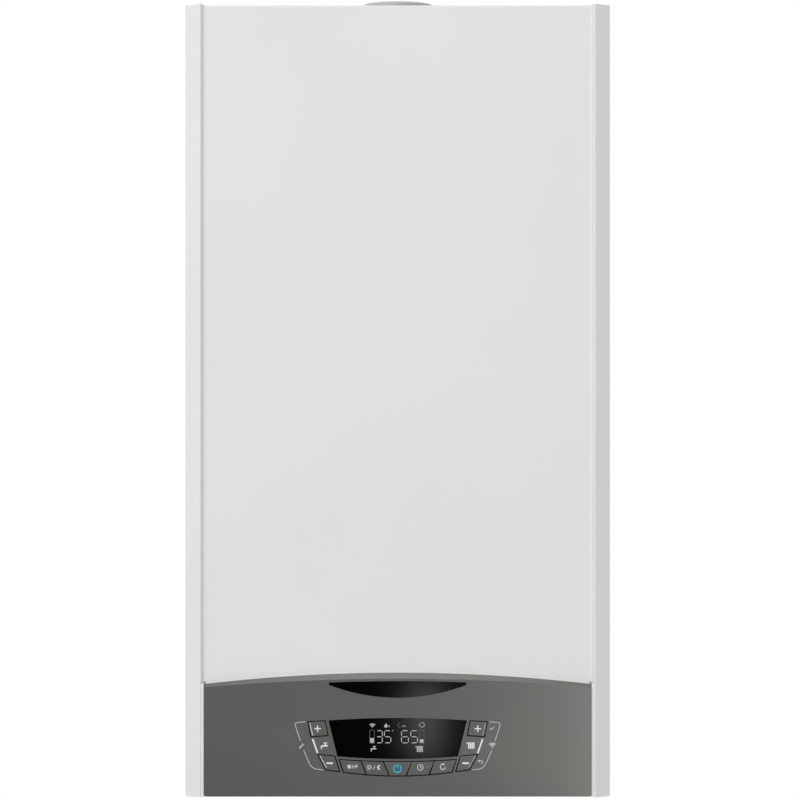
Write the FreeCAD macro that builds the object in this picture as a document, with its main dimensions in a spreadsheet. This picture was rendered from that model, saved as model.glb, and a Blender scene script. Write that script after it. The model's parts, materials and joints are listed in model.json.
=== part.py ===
import FreeCAD, Part
import math
import os
import re

import Sketcher

# Wall-hung condensing gas boiler. Millimetres, +Z up, the front faces -Y.
# The origin lies on the wall plane, midway between the two hanger holes.

SIZES = {
    # case
    "case_width": 400,
    "case_depth": 319,
    "case_height": 745,
    "hang_drop": 60,
    "hang_pitch": 280,
    "hang_hole": 5,
    "sheet": 1,
    "back_sheet": 1.2,
    "fit_gap": 0.3,
    "overrun": 3,
    "bevel_width": 14.8,
    "bevel_depth": 12,
    "flank_width": 2.7,
    "flank_depth": 6,
    "nose_round": 0.8,
    "fold_round": 2,
    "hem_depth": 14,
    "rear_flange": 15,
    # top panel and the pegs that locate the cover
    "top_gap": 0.7,
    "top_flange": 28,
    "top_side_flange": 15,
    "peg_radius": 3,
    "peg_length": 12,
    "peg_pitch": 240,
    "peg_drop": 14,
    # bottom plate
    "plate_height": 40,
    "plate_sheet": 1.5,
    "plate_flange": 15,
    "plate_setback": 79,
    # front cover
    "panel_gap": 0.4,
    "cover_setback": 5,
    "cover_sheet": 1.2,
    "cover_return": 13,
    "cover_round": 1.8,
    "cover_corner": 2.6,
    "cover_clear": 2,
    "rail_height": 24,
    "seam_gap": 0.35,
    # fascia
    "fascia_foot": 0.8,
    "fascia_crown": 116.7,
    "arch_rise": 10.7,
    "face_crown": 111.5,
    "face_rise": 8.1,
    "face_bevel": 5,
    "fascia_depth": 22,
    "fascia_wall": 3,
    "fascia_roof": 4.5,
    "fascia_corner": 2,
    # badge plate
    "badge_half": 64.5,
    "badge_tip": 105.6,
    "badge_tip_height": 2.4,
    "badge_top_rise": 1.2,
    "badge_drop": 12,
    "badge_thick": 1.2,
    "trim_gap": 0.1,
    # display window
    "window_top_half": 65,
    "window_top": 72.4,
    "window_top_rise": 2.3,
    "window_low_half": 56.7,
    "window_low": 38.5,
    "window_low_drop": 2.4,
    "window_thick": 2,
    "aperture_half": 50,
    "aperture_low": 42,
    "aperture_height": 29,
    # keys
    "key_gap": 0.4,
    "key_ease": 0.45,
    "key_proud": 0.3,
    "key_depth": 5,
    "key_travel": 0.8,
    "stem_radius": 2,
    "plus_outer_top_x": 84.3,
    "plus_outer_top_z": 71.2,
    "plus_inner_top_x": 68,
    "plus_inner_top_z": 72.1,
    "plus_inner_low_x": 65.2,
    "plus_inner_low_z": 58,
    "plus_outer_low_x": 81.6,
    "plus_outer_low_z": 56.9,
    "minus_outer_top_x": 75.1,
    "minus_outer_top_z": 40.5,
    "minus_inner_top_x": 58.9,
    "minus_inner_top_z": 38.9,
    "minus_inner_low_x": 54.3,
    "minus_inner_low_z": 23.9,
    "minus_outer_low_x": 67.6,
    "minus_outer_low_z": 25.9,
    "row_top_half": 55,
    "row_top": 35.7,
    "row_top_sag": 2,
    "row_low_half": 51.1,
    "row_low": 23.6,
    "row_low_sag": 3.6,
    "row_outer_split_top": 34.6,
    "row_outer_split_low": 29.6,
    "row_inner_split_top": 13.6,
    "row_inner_split_low": 7.8,
    # display board
    "board_gap": 9,
    "board_thick": 1.6,
    "board_half": 95,
    "board_low": 16,
    "board_height": 72,
    "post_radius": 3,
    "post_inset": 5,
    "switch_side": 6,
    "switch_height": 3,
    # control box
    "box_depth": 70,
    "box_lap": 8,
    "box_wall": 2.5,
    "box_height": 94,
    "pin_inset": 8,
    "pin_radius": 3,
    "pin_play": 0.05,
    "boss_radius": 6,
    "boss_length": 8,
    # main board
    "main_low": 10,
    "main_post": 5,
    "main_margin": 28,
    "plug_share": 0.345,
    "transformer_width": 46,
    "transformer_depth": 26,
    "transformer_share": 0.54,
    "part_row_share": 0.38,
    "relay_width": 20,
    "relay_depth": 15,
    "relay_height": 24,
    "relay_pitch": 28,
    "capacitor_radius": 9,
    "capacitor_depth": 24,
    "plug_width": 36,
    "plug_depth": 12,
    "plug_height": 12,
    # hinge brackets
    "bracket_sheet": 2,
    "bracket_gap": 1,
    "bracket_half": 10,
    "bracket_rise": 22,
    # flue adapter
    "flue_rise": 21.3,
    "flue_bore": 30.2,
    "spigot_radius": 33,
    "rim_radius": 36,
    "rim_height": 7,
    "rim_round": 3,
    "collar_bore": 50,
    "collar_wall": 2,
    "collar_height": 10,
    "adapter_radius": 66,
    "adapter_flange": 3,
    "adapter_drop": 28,
    "air_slot": 5,
    "air_hole": 47,
    "screw_circle": 59,
    "screw_radius": 4,
    "screw_height": 3,
    # heat exchanger
    "drum_wall": 4,
    "flange_width": 12,
    "drum_flange_depth": 6,
    "drum_spigot": 22,
    "port_radius": 13,
    "pipe_radius": 10,
    "pipe_wall": 1,
    "lug_height": 14,
    "shelf_clear": 14,
    "lug_length": 27,
    "shelf_flange": 42,
    "coil_tube": 8,
    "coil_margin": 28,
    "coil_inset": 18,
    "header_radius": 7,
    # burner and door
    "inlet_bore": 26,
    "burner_radius": 34,
    "burner_wall": 1.5,
    "burner_share": 0.7,
    "burner_flange": 40,
    "nut_radius": 5.5,
    "nut_height": 6,
    "nut_offset": 4,
    "electrode_radius": 4,
    "electrode_front": 14,
    "electrode_x_share": 0.38,
    "electrode_z_share": 0.42,
    "electrode_step_x_share": 0.13,
    "electrode_step_z_share": 0.17,
    "electrode_reach": 30,
    "spark_width": 30,
    "spark_height": 50,
    # fan and mixer duct
    "fan_radius": 66,
    "fan_wall": 3,
    "door_clear": 2,
    "outlet_width": 44,
    "inlet_radius": 28,
    "shaft_radius": 3,
    "wheel_gap": 4,
    "wheel_radius": 57,
    "wheel_plate": 2,
    "blade_inner": 36,
    "blade_thick": 1.5,
    "fan_motor_radius": 40,
    "shaft_reach": 12,
    "duct_top": 32,
    "collar_radius": 30,
    # air silencer
    "venturi_radius": 34,
    "silencer_right": 36,
    "silencer_half": 30,
    "silencer_wall": 2.5,
    # gas valve and gas pipe
    "solenoid_radius": 16,
    "solenoid_height": 24,
    "injector_radius": 9,
    "injector_inset": 7,
    "plunger_radius": 8,
    "plunger_length": 30,
    "plunger_travel": 4,
    "plunger_seat": 12,
    "gas_pipe_radius": 9,
    "gas_bend": 24,
    "gas_run_clear": 35,
    # condensate trap
    "trap_radius": 27,
    "trap_reach": 28,
    "trap_wall": 2.5,
    "neck_radius": 12,
    "drain_radius": 9,
    "drain_end": 8,
    # expansion vessel
    "vessel_wall": 1.5,
    "vessel_bulge_share": 0.45,
    "vessel_port_x_share": 0.5,
    "vessel_port_drop_share": 0.44,
    "membrane_thick": 2,
    "vessel_pipe_radius": 5,
    "vessel_pipe_bend": 10,
    # flow and return blocks
    # pump
    "pump_wall": 4,
    "pump_stand": 6,
    "pump_neck": 16,
    "pump_motor_radius": 40,
    "pump_shaft": 4,
    "rotor_plate": 3,
    "rotor_gap": 4,
    "rotor_vane_thick": 2,
    "rotor_hub": 10,
    # plate exchanger
    "plates_thick": 4,
    "plates_inset": 2,
    # diverter
    "spool_radius": 10,
    "spool_length": 30,
    "spool_travel": 8,
    "spool_low": 18,
    "spool_stem": 3,
    "stem_engage": 8,
    "diverter_motor_radius": 24,
    "diverter_motor_height": 55,
    "diverter_motor_bore": 26,
    # safety valve and filling tap
    "tap_radius": 13,
    "spindle_radius": 4,
    "spindle_length": 12,
    "knob_radius": 15,
    "knob_depth": 16,
    "knob_flute": 3,
    "lever_length": 26,
    "lever_half": 5,
    "lever_hub": 10,
    "lever_depth": 14,
    # connection tails and flow sensor
    "tail_end": 2,
    "heating_tail": 13.2,
    "water_tail": 10.4,
    "tail_wall": 2.5,
    "tail_play": 1,
    "tail_nut": 18,
    "tail_nut_height": 8,
    "sensor_radius": 14,
    "sensor_bore": 9,
    "bearing_bar": 3,
    "axle_radius": 1.5,
    "turbine_radius": 8,
    "turbine_blade": 1.2,
    "turbine_depth": 9,
}

# Lengths inside the case, as shares of its width, depth and height
SHARES = {
    "case_width": {
        "valve_left_share": 0.2875,
        "valve_width_share": 0.175,
        "pump_x_share": 0.275,
        "port_reach_share": 0.2,
        "block_inner_share": 0.125,
        "block_outer_share": 0.4125,
        "plates_half_share": 0.25,
        "diverter_x_share": 0.3375,
        "tap_x_share": 0.35,
        "tail_pitch_share": 0.1675,
        "silencer_left_share": 0.275,
    },
    "case_depth": {
        "flue_setback_share": 0.4389,
        "drum_setback_share": 0.326,
        "drum_length_share": 0.3762,
        "port_setback_share": 0.4389,
        "lug_depth_share": 0.1254,
        "lug_setback_share": 0.4702,
        "door_thick_share": 0.0439,
        "spark_setback_share": 0.6113,
        "spark_depth_share": 0.1254,
        "fan_depth_share": 0.1411,
        "fan_motor_depth_share": 0.0815,
        "venturi_length_share": 0.0784,
        "silencer_depth_share": 0.1724,
        "valve_setback_share": 0.5172,
        "valve_depth_share": 0.2194,
        "gas_run_setback_share": 0.627,
        "trap_setback_share": 0.4044,
        "vessel_depth_share": 0.2884,
        "vessel_pipe_setback_share": 0.3511,
        "block_setback_share": 0.3135,
        "block_depth_share": 0.2194,
        "pump_setback_share": 0.3699,
        "pump_depth_share": 0.138,
        "pump_motor_depth_share": 0.2382,
        "pump_shaft_reach_share": 0.1818,
        "plates_step_share": 0.0219,
        "diverter_setback_share": 0.4545,
        "tap_length_share": 0.1003,
        "tail_setback_share": 0.4232,
    },
    "case_height": {
        "drum_height_share": 0.7517,
        "drum_radius_share": 0.1584,
        "fan_height_share": 0.4725,
        "outlet_rise_share": 0.1074,
        "vessel_height_share": 0.6309,
        "vessel_radius_share": 0.2148,
        "valve_low_share": 0.3893,
        "valve_height_share": 0.1074,
        "trap_low_share": 0.302,
        "trap_height_share": 0.1409,
        "spark_low_share": 0.8054,
        "block_low_share": 0.1128,
        "block_height_share": 0.1154,
        "short_tail_top_share": 0.0752,
        "tap_height_share": 0.1584,
        "plates_low_share": 0.1275,
        "plates_height_share": 0.1007,
        "pump_radius_share": 0.0604,
        "rotor_radius_share": 0.0443,
        "pump_rise_share": 0.0671,
        "low_fix_height_share": 0.094,
    },
}

# Counts of repeated features
BLADE_COUNT = 20
VANE_COUNT = 6
AIR_SLOT_COUNT = 8
PLATE_COUNT = 8
FLUTE_COUNT = 8
RING_COUNT = 4
NUT_COUNT = 6
SCREW_COUNT = 4

# Lengths and places worked out from the sizes above
DERIVED = {
    "half": "case_width / 2",
    "drum_flange": "drum_radius + flange_width",
    "lug_reach": "drum_radius + lug_length",
    "coil_radius": "drum_radius - coil_margin",
    "coil_span": "drum_length - drum_wall - 2 * coil_inset",
    "nut_circle": "drum_radius + nut_offset",
    "burner_length": "drum_length * burner_share",
    "vessel_flat": "vessel_radius - vessel_depth * vessel_bulge_share",
    "vessel_port_x": "vessel_radius * vessel_port_x_share",
    "vessel_port_drop": "vessel_radius * vessel_port_drop_share",
    "blade_width": "fan_depth - 2 * fan_wall - 2 * wheel_gap - wheel_plate",
    "rotor_vane": "pump_depth - 2 * pump_wall - 2 * rotor_gap - rotor_plate",
    "main_half": "box_half - main_margin",
    "main_height": "box_height - 2 * main_low",
    "part_row": "main_height * part_row_share",
    "plug_pitch": "main_half * plug_share",
    "gas_run": "block_top + gas_run_clear",
    "trap_x": "0 - trap_reach",
    "fan_x": "fan_radius - outlet_width / 2",
    "floor": "hang_drop - case_height",
    "roof": "hang_drop",
    "front": "0 - case_depth",
    "side_face": "half - sheet",
    "wall_face": "0 - back_sheet",
    "rear_stop": "wall_face - sheet",
    "bevel_run": "sqrt(bevel_width ^ 2 + bevel_depth ^ 2)",
    "flank_run": "sqrt(flank_width ^ 2 + flank_depth ^ 2)",
    "nose_turn": "bevel_depth * flank_width + bevel_width * flank_depth",
    "hem_face": "half - bevel_width - flank_width",
    "cover_face": "front + cover_setback",
    "cover_rear": "cover_face + cover_return",
    "cover_half": "hem_face - panel_gap",
    "top_face": "roof - top_gap",
    "top_under": "top_face - sheet",
    "top_front": "cover_rear + cover_clear",
    "peg_level": "top_face - peg_drop",
    "plate_top": "plate_under + plate_sheet",
    "plate_under": "floor + plate_height",
    "plate_front": "front + plate_setback",
    "arch_radius": "(cover_half ^ 2 + arch_rise ^ 2) / (2 * arch_rise)",
    "face_radius": "(cover_half ^ 2 + face_rise ^ 2) / (2 * face_rise)",
    "cover_ends": "floor + fascia_crown + seam_gap - arch_rise",
    "arch_centre": "floor + fascia_crown + seam_gap - arch_radius",
    "tray_half": "cover_half - fascia_wall",
    "tray_radius": "arch_radius - fascia_roof",
    "tray_centre": "floor + fascia_crown - arch_radius",
    "board_face": "front + fascia_wall + board_gap",
    "board_back": "board_face + board_thick",
    "switch_face": "board_face - switch_height",
    "box_half": "tray_half - fit_gap",
    "box_bottom": "floor + fascia_foot + fascia_wall + fit_gap",
    "box_front": "front + fascia_depth - box_lap",
    "box_rear": "front + box_depth",
    "hinge_y": "box_rear - pin_inset",
    "hinge_z": "box_bottom + pin_inset",
    "main_rear": "box_rear - box_wall - main_post",
    "main_face": "main_rear - board_thick",
    "flue_y": "0 - flue_setback",
    "drum_z": "floor + drum_height",
    "drum_rear": "0 - drum_setback",
    "drum_front": "drum_rear - drum_length",
    "door_front": "drum_front - door_thick",
    "drum_top": "drum_z + drum_radius",
    "drum_bottom": "drum_z - drum_flange",
    "port_y": "0 - port_setback",
    "shelf_face": "drum_z - lug_height / 2",
    "fan_rear": "door_front - door_clear",
    "fan_front": "fan_rear - fan_depth",
    "fan_z": "floor + fan_height",
    "outlet_left": "0 - outlet_width / 2",
    "outlet_top": "fan_z + outlet_rise",
    "wheel_face": "fan_front + fan_wall + wheel_gap",
    "silencer_front": "fan_rear + venturi_length",
    "valve_rear": "0 - valve_setback",
    "valve_front": "valve_rear - valve_depth",
    "valve_bottom": "floor + valve_low",
    "valve_x": "valve_left + valve_width / 2",
    "valve_y": "valve_rear - valve_depth / 2",
    "trap_y": "0 - trap_setback",
    "trap_bottom": "floor + trap_low",
    "trap_top": "trap_bottom + trap_height",
    "vessel_z": "floor + vessel_height",
    "vessel_front": "wall_face - vessel_depth",
    "block_rear": "0 - block_setback",
    "block_front": "block_rear - block_depth",
    "block_bottom": "floor + block_low",
    "block_top": "block_bottom + block_height",
    "pump_rear": "0 - pump_setback",
    "pump_front": "pump_rear - pump_depth",
    "pump_z": "block_top + pump_radius + pump_stand",
    "rotor_face": "pump_rear - pump_wall - rotor_gap",
    "diverter_y": "0 - diverter_setback",
    "spool_bottom": "block_bottom + spool_low",
    "tap_z": "floor + tap_height",
    "tap_front": "block_front - tap_length",
    "tail_y": "0 - tail_setback",
    "tail_foot": "floor + tail_end",
    "short_top": "floor + short_tail_top",
    "short_mid": "(short_top + block_bottom) / 2",
}

for whole, shares in SHARES.items():
    for name, share in shares.items():
        SIZES[name] = share
        DERIVED[name.removesuffix("_share")] = f"{whole} * {name}"

doc = FreeCAD.newDocument("wall_boiler")
sheet = doc.addObject("Spreadsheet::Sheet", "sizes")
for row, (alias, size) in enumerate(SIZES.items(), start=1):
    sheet.set(f"A{row}", str(size))
    sheet.setAlias(f"A{row}", alias)
doc.recompute()

SUB_PARTS = []
WORD = re.compile(r"[a-z][a-z_]*")


def formula(text):
    """The text as an expression: sheet names prefixed, worked-out names opened."""

    def opened(match):
        word = match.group(0)
        if word in DERIVED:
            return f"({formula(DERIVED[word])})"
        return f"sizes.{word}" if word in SIZES else word

    return WORD.sub(opened, text)


def value(text):
    """The number that an expression gives now."""
    return float(sheet.evalExpression(formula(text)))


def bind(made, place, text):
    """Ties one property of an object to the sheet."""
    made.setExpression(place, formula(text))


def piece(label, made):
    """Names a finished sub-part."""
    made.Label = label
    SUB_PARTS.append(made)
    return made


def block(name, x, y, z):
    """A box between two named faces in each direction."""
    made = doc.addObject("Part::Box", name)
    for length, axis, (low, high) in zip(("Length", "Width", "Height"), "xyz", (x, y, z)):
        bind(made, length, f"({high}) - ({low})")
        bind(made, f"Placement.Base.{axis}", low)
    return made


TURNS = {
    "x": FreeCAD.Rotation(FreeCAD.Vector(0, 1, 0), 90),
    "y": FreeCAD.Rotation(FreeCAD.Vector(1, 0, 0), -90),
    "z": FreeCAD.Rotation(),
}


def along(made, axis, centre, span):
    """Lays an object that stands on its own base along an axis, over a span."""
    made.Placement = FreeCAD.Placement(FreeCAD.Vector(), TURNS[axis])
    bind(made, "Height", f"({span[1]}) - ({span[0]})")
    across = [name for name in "xyz" if name != axis]
    for name, text in zip(across, centre):
        bind(made, f"Placement.Base.{name}", text)
    bind(made, f"Placement.Base.{axis}", span[0])
    return made


def rod(name, axis, centre, span, radius):
    """A cylinder along an axis; the centre gives the two other coordinates."""
    made = doc.addObject("Part::Cylinder", name)
    bind(made, "Radius", radius)
    return along(made, axis, centre, span)


def hexagon(name, axis, centre, span, radius):
    """A hexagonal prism along an axis."""
    made = doc.addObject("Part::Prism", name)
    made.Polygon = 6
    bind(made, "Circumradius", radius)
    return along(made, axis, centre, span)


def fuse(name, *shapes):
    """One solid made of several."""
    made = doc.addObject("Part::MultiFuse", name)
    made.Shapes = list(shapes)
    return made


def cut(name, base, *tools):
    """A solid less one or more others."""
    made = doc.addObject("Part::Cut", name)
    made.Base = base
    made.Tool = tools[0] if len(tools) == 1 else fuse(f"{name}_tools", *tools)
    return made


def group(name, *solids):
    """Separate solids that share one node."""
    made = doc.addObject("Part::Compound", name)
    made.Links = list(solids)
    return made


def body(name):
    """An empty body."""
    return doc.addObject("PartDesign::Body", name)


def place(made, x="0", y="0", z="0"):
    """Ties a body's place to the sheet."""
    for axis, text in zip("xyz", (x, y, z)):
        if text != "0":
            bind(made, f"Placement.Base.{axis}", text)


def sketch_on(owner, name, role, shift="0"):
    """A sketch on one of a body's own planes, moved along the plane's normal."""
    made = owner.newObject("Sketcher::SketchObject", name)
    plane = next(item for item in owner.Origin.OriginFeatures if item.Role == role)
    made.AttachmentSupport = [(plane, "")]
    made.MapMode = "FlatFace"
    if shift != "0":
        bind(made, "AttachmentOffset.Base.z", shift)
    return made


def front_sketch(name):
    """A sketch of its own on the upright plane through the origin: across, then up."""
    made = doc.addObject("Sketcher::SketchObject", name)
    made.Placement = FreeCAD.Placement(
        FreeCAD.Vector(), FreeCAD.Rotation(FreeCAD.Vector(1, 0, 0), 90)
    )
    return made


def pin_down(sketch, index, end, x, y):
    """Fixes a sketch point by its distances from the sketch's origin."""
    for kind, text, axis in (("DistanceX", x, -2), ("DistanceY", y, -1)):
        if text == "0":
            sketch.addConstraint(Sketcher.Constraint("PointOnObject", index, end, axis))
            continue
        at = sketch.addConstraint(Sketcher.Constraint(kind, -1, 1, index, end, value(text)))
        bind(sketch, f"Constraints[{at}]", text)


def arc_between(start, end, radius, side):
    """The short arc from start to end; side +1 turns left along the way, -1 right."""
    chord = end - start
    height = math.sqrt(radius ** 2 - chord.Length ** 2 / 4)
    left = FreeCAD.Vector(-chord.y, chord.x, 0).normalize()
    centre = (start + end) / 2 + left * side * height
    first, last = (start, end) if side > 0 else (end, start)
    circle = Part.Circle(centre, FreeCAD.Vector(0, 0, 1), radius)
    return Part.ArcOfCircle(circle, circle.parameter(first), circle.parameter(last))


def outline(sketch, corners):
    """A closed outline. A corner is (x, y), or (x, y, radius, side) where an arc starts."""
    points = [FreeCAD.Vector(value(corner[0]), value(corner[1]), 0) for corner in corners]
    starts = []
    ends = []
    for at, corner in enumerate(corners):
        here = points[at]
        there = points[(at + 1) % len(points)]
        if len(corner) == 2:
            sketch.addGeometry(Part.LineSegment(here, there))
            starts.append(1)
            ends.append(2)
            continue
        sketch.addGeometry(arc_between(here, there, value(corner[2]), corner[3]))
        starts.append(1 if corner[3] > 0 else 2)
        ends.append(2 if corner[3] > 0 else 1)
    for at, corner in enumerate(corners):
        after = (at + 1) % len(corners)
        sketch.addConstraint(Sketcher.Constraint("Coincident", at, ends[at], after, starts[after]))
    for at, corner in enumerate(corners):
        pin_down(sketch, at, starts[at], corner[0], corner[1])
        if len(corner) == 4:
            rule = sketch.addConstraint(Sketcher.Constraint("Radius", at, value(corner[2])))
            bind(sketch, f"Constraints[{rule}]", corner[2])
    return sketch


def circles(sketch, centres, radius):
    """Round outlines of one radius."""
    for x, y in centres:
        middle = FreeCAD.Vector(value(x), value(y), 0)
        at = sketch.addGeometry(Part.Circle(middle, FreeCAD.Vector(0, 0, 1), value(radius)))
        pin_down(sketch, at, 3, x, y)
        rule = sketch.addConstraint(Sketcher.Constraint("Radius", at, value(radius)))
        bind(sketch, f"Constraints[{rule}]", radius)
    return sketch


def pad(owner, name, sketch, length, backwards=False):
    """A sketch padded along its normal, or against it."""
    made = owner.newObject("PartDesign::Pad", name)
    made.Profile = sketch
    made.Reversed = backwards
    bind(made, "Length", length)
    return made


def pocket(owner, name, sketch, length, forwards=False):
    """A sketch cut against its normal, or along it."""
    made = owner.newObject("PartDesign::Pocket", name)
    made.Profile = sketch
    made.Reversed = forwards
    bind(made, "Length", length)
    return made


def polar(owner, name, feature, sketch, count):
    """Copies of a feature round the sketch's normal."""
    made = owner.newObject("PartDesign::PolarPattern", name)
    made.Originals = [feature]
    made.Axis = (sketch, ["N_Axis"])
    made.Angle = 360
    made.Occurrences = count
    owner.Tip = made
    return made


def rounded(owner, name, feature, edges, radius):
    """Rounds the edges of a feature that the test picks."""
    doc.recompute()
    names = [f"Edge{at}" for at, edge in enumerate(feature.Shape.Edges, start=1) if edges(edge)]
    made = owner.newObject("PartDesign::Fillet", name)
    made.Base = (feature, names)
    bind(made, "Radius", radius)
    return made


def near(a, b):
    """Whether two lengths are the same place."""
    return abs(a - b) < Part.Precision.confusion() * 1000


def raised(name, sketch, start, end, inset=None):
    """A front sketch, drawn in by the inset (or eased outwards), made solid between two depths."""
    base = sketch
    if inset:
        base = doc.addObject("Part::Offset2D", f"{name}_inset")
        base.Source = sketch
        bind(base, "Value", f"0 - {inset}")
    made = doc.addObject("Part::Extrusion", name)
    made.Base = base
    made.DirMode = "Custom"
    made.Dir = FreeCAD.Vector(0, 1, 0)
    made.Solid = True
    bind(made, "LengthFwd", f"({end}) - ({start})")
    bind(made, "Placement.Base.y", start)
    return made


def bent_pipe(name, corners, radius, bore, bend):
    """A tube along straight runs joined by tangent arcs."""
    points = [FreeCAD.Vector(*(value(text) for text in corner)) for corner in corners]
    turn = value(bend)
    edges = []
    here = points[0]
    for before, corner, after in zip(points, points[1:], points[2:]):
        way_in = (corner - before).normalize()
        way_out = (after - corner).normalize()
        start = corner - way_in * turn
        end = corner + way_out * turn
        middle = corner + (way_out - way_in) * turn * (1 - math.sqrt(2) / 2)
        edges.append(Part.LineSegment(here, start).toShape())
        edges.append(Part.Arc(start, middle, end).toShape())
        here = end
    edges.append(Part.LineSegment(here, points[-1]).toShape())
    path = Part.Wire(edges)
    heading = points[1] - points[0]

    def swept(size):
        ring = Part.Wire([Part.Circle(points[0], heading, size).toShape()])
        return path.makePipeShell([ring], True, False)

    made = doc.addObject("Part::Feature", name)
    made.Shape = swept(value(radius)).cut(swept(value(bore)))
    return made


def mirrored(text, side):
    """A length across the case, on the right (+1) or the left (-1)."""
    return text if side > 0 else f"0 - ({text})"


def across(low, high, side):
    """A span across the case, on the right (+1) or the left (-1)."""
    return (low, high) if side > 0 else (f"0 - ({high})", f"0 - ({low})")


SIDES = (("left", -1), ("right", 1))


# Back panel: flat sheet with two hanger holes and two lower fixing holes
back = body("back_panel")
back_outline = outline(
    sketch_on(back, "back_outline", "XZ_Plane"),
    [
        ("fit_gap - side_face", "floor"),
        ("side_face - fit_gap", "floor"),
        ("side_face - fit_gap", "top_face"),
        ("fit_gap - side_face", "top_face"),
    ],
)
pad(back, "back_sheet_pad", back_outline, "back_sheet")
back_holes = circles(
    sketch_on(back, "back_holes", "XZ_Plane", "back_sheet"),
    [
        ("0 - hang_pitch / 2", "0"),
        ("hang_pitch / 2", "0"),
        ("0 - hang_pitch / 2", "floor + low_fix_height"),
        ("hang_pitch / 2", "floor + low_fix_height"),
    ],
    "hang_hole",
)
pocket(back, "back_hole_cut", back_holes, "back_sheet + overrun")
piece("back_panel", back)


# Side panels: folded sheet with a rear flange, a bevelled front strip, and an inner flank
# that runs back from the nose to the hem beside the cover
def side_panel(name, side):
    panel = body(name)
    corners = [
        ("half", "0"),
        ("half", "front + bevel_depth"),
        ("half - bevel_width", "front"),
        ("hem_face", "front + flank_depth"),
        ("hem_face", "front + hem_depth"),
        ("hem_face + sheet", "front + hem_depth"),
        (
            "hem_face + sheet",
            "front + flank_depth + sheet * (flank_run - flank_depth) / flank_width",
        ),
        (
            "half - bevel_width"
            " + sheet * (bevel_width * flank_run - bevel_run * flank_width) / nose_turn",
            "front + sheet * (bevel_depth * flank_run + flank_depth * bevel_run) / nose_turn",
        ),
        ("side_face", "front + bevel_depth + sheet * (bevel_run - bevel_depth) / bevel_width"),
        ("side_face", "rear_stop"),
        ("half - rear_flange", "rear_stop"),
        ("half - rear_flange", "wall_face"),
        ("side_face", "wall_face"),
        ("side_face", "0"),
    ]
    drawn = sketch_on(panel, f"{name}_section", "XY_Plane", "floor")
    outline(drawn, [(mirrored(x, side), y) for x, y in corners])
    sheet_pad = pad(panel, f"{name}_pad", drawn, "case_height")

    def at_corner(edge, x, y):
        ends = [vertex.Point for vertex in edge.Vertexes]
        return all(near(abs(end.x), value(x)) and near(end.y, value(y)) for end in ends)

    fold = rounded(
        panel, f"{name}_fold", sheet_pad, lambda edge: at_corner(edge, *corners[1]), "fold_round"
    )
    rounded(
        panel, f"{name}_nose", fold, lambda edge: at_corner(edge, *corners[2]), "nose_round"
    )
    piece(name, panel)


for word, side in SIDES:
    side_panel(f"{word}_side_panel", side)

# Top panel: sheet with turned-down edges, the flue hole and two pegs for the cover
inner_width = ("fit_gap - side_face", "side_face - fit_gap")
tongue_width = ("rear_flange + fit_gap - half", "half - rear_flange - fit_gap")
top_solids = [
    block("top_sheet", inner_width, ("top_front", "rear_stop"), ("top_under", "top_face")),
    block("top_tongue", tongue_width, ("rear_stop", "wall_face"), ("top_under", "top_face")),
    block(
        "top_front_flange",
        inner_width,
        ("top_front", "top_front + sheet"),
        ("top_face - top_flange", "top_face"),
    ),
]
for word, side in SIDES:
    top_solids.append(
        block(
            f"top_{word}_flange",
            across("side_face - fit_gap - sheet", "side_face - fit_gap", side),
            ("top_front", "rear_stop"),
            ("top_face - top_side_flange", "top_face"),
        )
    )
    top_solids.append(
        rod(
            f"top_{word}_peg",
            "y",
            (mirrored("peg_pitch / 2", side), "peg_level"),
            ("top_front - peg_length", "top_front"),
            "peg_radius",
        )
    )
top_hole = rod(
    "top_hole", "z", ("0", "flue_y"), ("top_under - overrun", "top_face + overrun"), "air_hole"
)
piece("top_panel", cut("top_panel_cut", fuse("top_panel_sheet", *top_solids), top_hole))

# Connection tails, left to right: heating flow, hot water, gas, cold water, heating return
TAILS = (
    ("flow", "0 - 2 * tail_pitch", "heating_tail", "block_bottom"),
    ("hot", "0 - tail_pitch", "water_tail", "block_bottom"),
    ("gas", "0", "heating_tail", "short_top"),
    ("cold", "tail_pitch", "water_tail", "short_top"),
    ("return", "2 * tail_pitch", "heating_tail", "block_bottom"),
)
tails = []
tail_holes = []
for word, x, radius, top in TAILS:
    centre = (x, "tail_y")
    shank = rod(f"{word}_shank", "z", centre, ("tail_foot", top), radius)
    nut_span = ("plate_under - tail_nut_height", "plate_under")
    nut = hexagon(f"{word}_nut", "z", centre, nut_span, "tail_nut")
    bore = rod(
        f"{word}_bore",
        "z",
        centre,
        ("tail_foot - overrun", f"{top} + overrun"),
        f"{radius} - tail_wall",
    )
    tails.append(cut(f"{word}_tail", fuse(f"{word}_tail_body", shank, nut), bore))
    hole_span = ("plate_under - overrun", "plate_top + overrun")
    tail_holes.append(rod(f"{word}_hole", "z", centre, hole_span, f"{radius} + tail_play"))
piece("connection_tails", group("tail_group", *tails))

# Bottom plate: carries the tails, with a hole for the condensate drain
plate_solids = [
    block(
        "plate_sheet_block",
        inner_width,
        ("plate_front", "rear_stop"),
        ("plate_under", "plate_top"),
    ),
    block(
        "plate_tongue",
        tongue_width,
        ("rear_stop", "wall_face"),
        ("plate_under", "plate_top"),
    ),
]
for word, side in SIDES:
    plate_solids.append(
        block(
            f"plate_{word}_flange",
            across("side_face - fit_gap - plate_sheet", "side_face - fit_gap", side),
            ("plate_front", "rear_stop"),
            ("plate_under", "plate_top + plate_flange"),
        )
    )
drain_hole = rod(
    "drain_hole",
    "z",
    ("trap_x", "trap_y"),
    ("plate_under - overrun", "plate_top + overrun"),
    "drain_radius + tail_play",
)
piece(
    "bottom_plate",
    cut("plate_cut", fuse("plate_body", *plate_solids), drain_hole, *tail_holes),
)


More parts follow.
